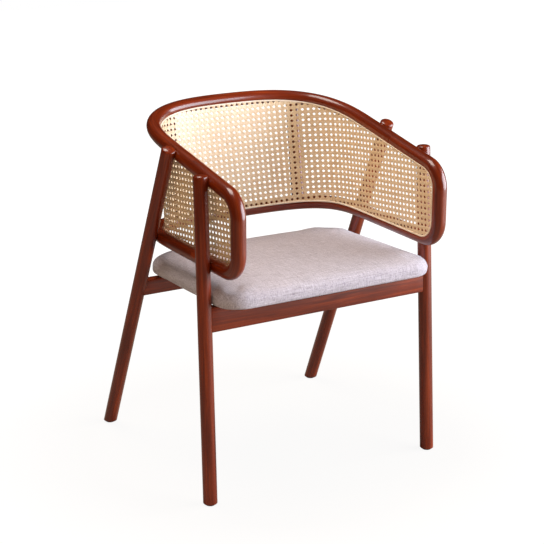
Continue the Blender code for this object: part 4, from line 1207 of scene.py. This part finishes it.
def plywood():
    """Birch plywood: a pale rotary-cut face with long wavy figure, and dark and pale plies at the edge."""
    made, tree, shader, place = solid_material("plywood", Roughness=0.7)
    figure = noise(tree, place, (9, 70, 9), 3.0, 0.6, 1.2)
    fibres = noise(tree, place, (60, 1800, 60))
    depth = math_node(tree, "MULTIPLY", separated(tree, place)[2], 2 * math.pi / PLY_PAIR)
    plies = math_node(tree, "MULTIPLY_ADD", math_node(tree, "SINE", depth), 0.5, 0.5)
    face = ramp(tree, figure, (0.35, (0.42, 0.27, 0.14)), (0.65, (0.58, 0.41, 0.24)))
    fine = ramp(tree, fibres, (0.3, (0.82, 0.78, 0.74)), (0.6, (1, 1, 1)))
    edge = ramp(tree, plies, (0.3, (0.80, 0.74, 0.68)), (0.7, (1, 1, 1)))
    colour = mixed(tree, 0.9, face, fine, "MULTIPLY")
    dress(tree, shader, mixed(tree, 0.8, colour, edge, "MULTIPLY"), fibres, 0.00005)
    return made


def black_cloth():
    """Spun-bonded cloth: a felt of fine fibres with a grid of small pressed dots."""
    made, tree, shader, place = solid_material("black_cloth", Roughness=0.9)
    fibres = noise(tree, place, (1400, 1400, 1400), 3.0, 0.7)
    grid = {"Vector": scaled(tree, place, (650, 650, 0)), "Scale": 1.0, "Randomness": 0.0}
    dots = add(tree, "ShaderNodeTexVoronoi", grid).outputs["Distance"]
    pressed = add(tree, "ShaderNodeMapRange", {"Value": dots, "From Min": 0.20, "From Max": 0.34}).outputs[0]
    colour = ramp(tree, fibres, (0.3, (0.010, 0.010, 0.011)), (0.7, (0.040, 0.040, 0.043)))
    dress(tree, shader, colour, math_node(tree, "MULTIPLY_ADD", pressed, 1.5, fibres), 0.0001)
    return made


def dust_cover():
    """The cloth sags a little between its staples."""
    outline = seat_outline(COVER_INSET, COVER_STEPS)
    underside = COVER_TOP - COVER_THICKNESS
    rings = [(drawn_in(outline, share), COVER_TOP) for share in COVER_SHARES]
    for share in COVER_SHARES[::-1]:
        rings.append((drawn_in(outline, share), underside - COVER_SAG * (1 - share**4)))
    mesh = seat_skin("dust_cover_cloth", COVER_TOP, rings, underside - COVER_SAG)
    cloth = finished("dust_cover_cloth", mesh, black_cloth(), "black_cloth", "dust_cover")


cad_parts["seat_board"].material_slots[0].material = plywood()
dust_cover()


# Dowels, screws and glides
# Plain beech dowels hold every joint, steel screws come up through the seat rails into the board,
# and a nylon glide is nailed under each foot.


def beech():
    """Pale beech with short dark flecks."""
    made, tree, shader, place = solid_material("beech", Roughness=0.6)
    flecks = noise(tree, place, (500, 900, 240), 3.0, 0.6)
    bands = noise(tree, place, (60, 60, 60))
    base = ramp(tree, bands, (0.35, (0.42, 0.26, 0.13)), (0.65, (0.60, 0.42, 0.25)))
    fine = ramp(tree, flecks, (0.30, (0.72, 0.62, 0.54)), (0.50, (1, 1, 1)))
    dress(tree, shader, mixed(tree, 0.9, base, fine, "MULTIPLY"), flecks, 0.0001)
    return made


def steel():
    """Bright zinc plate over turned steel, with fine scratches and a slight yellow cast."""
    made, tree, shader, place = solid_material("steel", Metallic=1.0)
    scratches = noise(tree, place, (900, 900, 7000), 3.0, 0.7)
    plate = noise(tree, place, (300, 300, 300))
    colour = ramp(tree, plate, (0.35, (0.40, 0.39, 0.36)), (0.65, (0.56, 0.55, 0.53)))
    roughness = math_node(tree, "MULTIPLY_ADD", scratches, 0.25, 0.18)
    dress(tree, shader, colour, scratches, 0.00003, roughness=roughness)
    return made


def nylon():
    """Dark nylon, moulded with a fine grain and scuffed by the floor."""
    made, tree, shader, place = solid_material("nylon")
    grain = noise(tree, place, (2500, 2500, 2500))
    scuffs = noise(tree, place, (1200, 160, 300), 3.0, 0.7)
    colour = ramp(tree, scuffs, (0.45, (0.030, 0.024, 0.020)), (0.70, (0.075, 0.062, 0.052)))
    roughness = math_node(tree, "MULTIPLY_ADD", scuffs, 0.3, 0.35)
    dress(tree, shader, colour, grain, 0.00005, roughness=roughness)
    return made


for word, look in (("dowel", beech()), ("screw", steel()), ("glide", nylon())):
    for name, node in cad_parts.items():
        if word in name:
            node.material_slots[0].material = look


# Floor, light and camera
# A pale floor that keeps the chair's shadow, soft lamps from the right, above and the left, and
# the camera at the photograph's angle.

FLOOR_SIZE = 14.0
SHADOW_NEAR = 0.4
SHADOW_REACH = 1.2
SHADOW_SHARE = 0.18
FLOOR_SEEN = 1.12
CHAIR_MIDDLE = Vector((0, 0, 0.45))
AMBIENT_SHARE = 0.20
AMBIENT_IN_GLOSS = 0.02
CAMERA_TARGET = Vector((0.0033, 0.0053, 0.3783))
CAMERA_DISTANCE = 3.0418
CAMERA_WAY = Vector((-0.47992, -0.82345, 0.30268))


def pale_floor():
    """A floor that the camera sees as nearly white, more so further from the chair."""
    body = bmesh.new()
    bmesh.ops.create_grid(body, x_segments=1, y_segments=1, size=FLOOR_SIZE / 2)
    mesh = bpy.data.meshes.new("floor")
    body.to_mesh(mesh)
    body.free()
    made, tree, shader = new_material("pale_floor", Roughness=0.9, Specular_IOR_Level=0.1)
    shader.inputs["Base Color"].default_value = (0.33, 0.28, 0.23, 1)
    seen = tree.nodes.new("ShaderNodeLightPath").outputs["Is Camera Ray"]
    place = tree.nodes.new("ShaderNodeTexCoord").outputs["Object"]
    distance = add(tree, "ShaderNodeVectorMath", {0: place}, operation="LENGTH").outputs["Value"]
    reach = {"Value": distance, "From Min": SHADOW_NEAR, "From Max": SHADOW_REACH}
    far = add(tree, "ShaderNodeMapRange", reach).outputs[0]
    share = math_node(tree, "MULTIPLY_ADD", far, SHADOW_SHARE, 1 - SHADOW_SHARE)
    white = add(tree, "ShaderNodeEmission", {"Color": (1, 1, 1, 1), "Strength": FLOOR_SEEN}).outputs[0]
    parts = {0: math_node(tree, "MULTIPLY", seen, share), 1: shader.outputs[0], 2: white}
    mix = add(tree, "ShaderNodeMixShader", parts)
    tree.links.new(mix.outputs[0], tree.nodes["Material Output"].inputs["Surface"])
    mesh.materials.append(made)
    placed("floor", mesh)


def facing(made, way):
    """Turns a lamp or the camera to face a way."""
    made.rotation_euler = way.to_track_quat("-Z", "Y").to_euler()


def lamp(name, place, size, power, colour):
    light = bpy.data.lights.new(name, "AREA")
    light.shape = "RECTANGLE"
    light.size, light.size_y = size
    light.energy = power
    light.color = colour
    made = placed(name, light)
    made.location = place
    facing(made, CHAIR_MIDDLE - Vector(place))
    return made


pale_floor()
lamp("window_right", (2.45, -1.65, 1.15), (3.0, 2.2), 218, (0.86, 0.91, 1.0))
lamp("overhead", (-0.4, 0.3, 2.7), (1.2, 1.2), 42, (1.0, 0.92, 0.85))
lamp("fill_left", (-2.4, -2.2, 1.2), (2.0, 2.0), 27, (1.0, 0.77, 0.54)).visible_glossy = False

world = bpy.data.worlds.new("studio")
bpy.context.scene.world = world
world.use_nodes = True
sky = world.node_tree
paths = sky.nodes.new("ShaderNodeLightPath").outputs
background = sky.nodes["Background"].inputs
ambient = math_node(sky, "MULTIPLY_ADD", paths["Is Diffuse Ray"], AMBIENT_SHARE, AMBIENT_IN_GLOSS)
sky.links.new(math_node(sky, "MAXIMUM", paths["Is Camera Ray"], ambient), background["Strength"])
sky.links.new(mixed(sky, paths["Is Camera Ray"], (1.0, 0.82, 0.66), (1, 1, 1)), background["Color"])

camera_data = bpy.data.cameras.new("camera")
camera_data.lens = 95.95
camera_data.sensor_width = 36
camera = placed("camera", camera_data)
camera.location = CAMERA_TARGET + CAMERA_WAY * CAMERA_DISTANCE
facing(camera, -CAMERA_WAY)
bpy.context.scene.camera = camera
bpy.context.scene.view_settings.view_transform = "Standard"
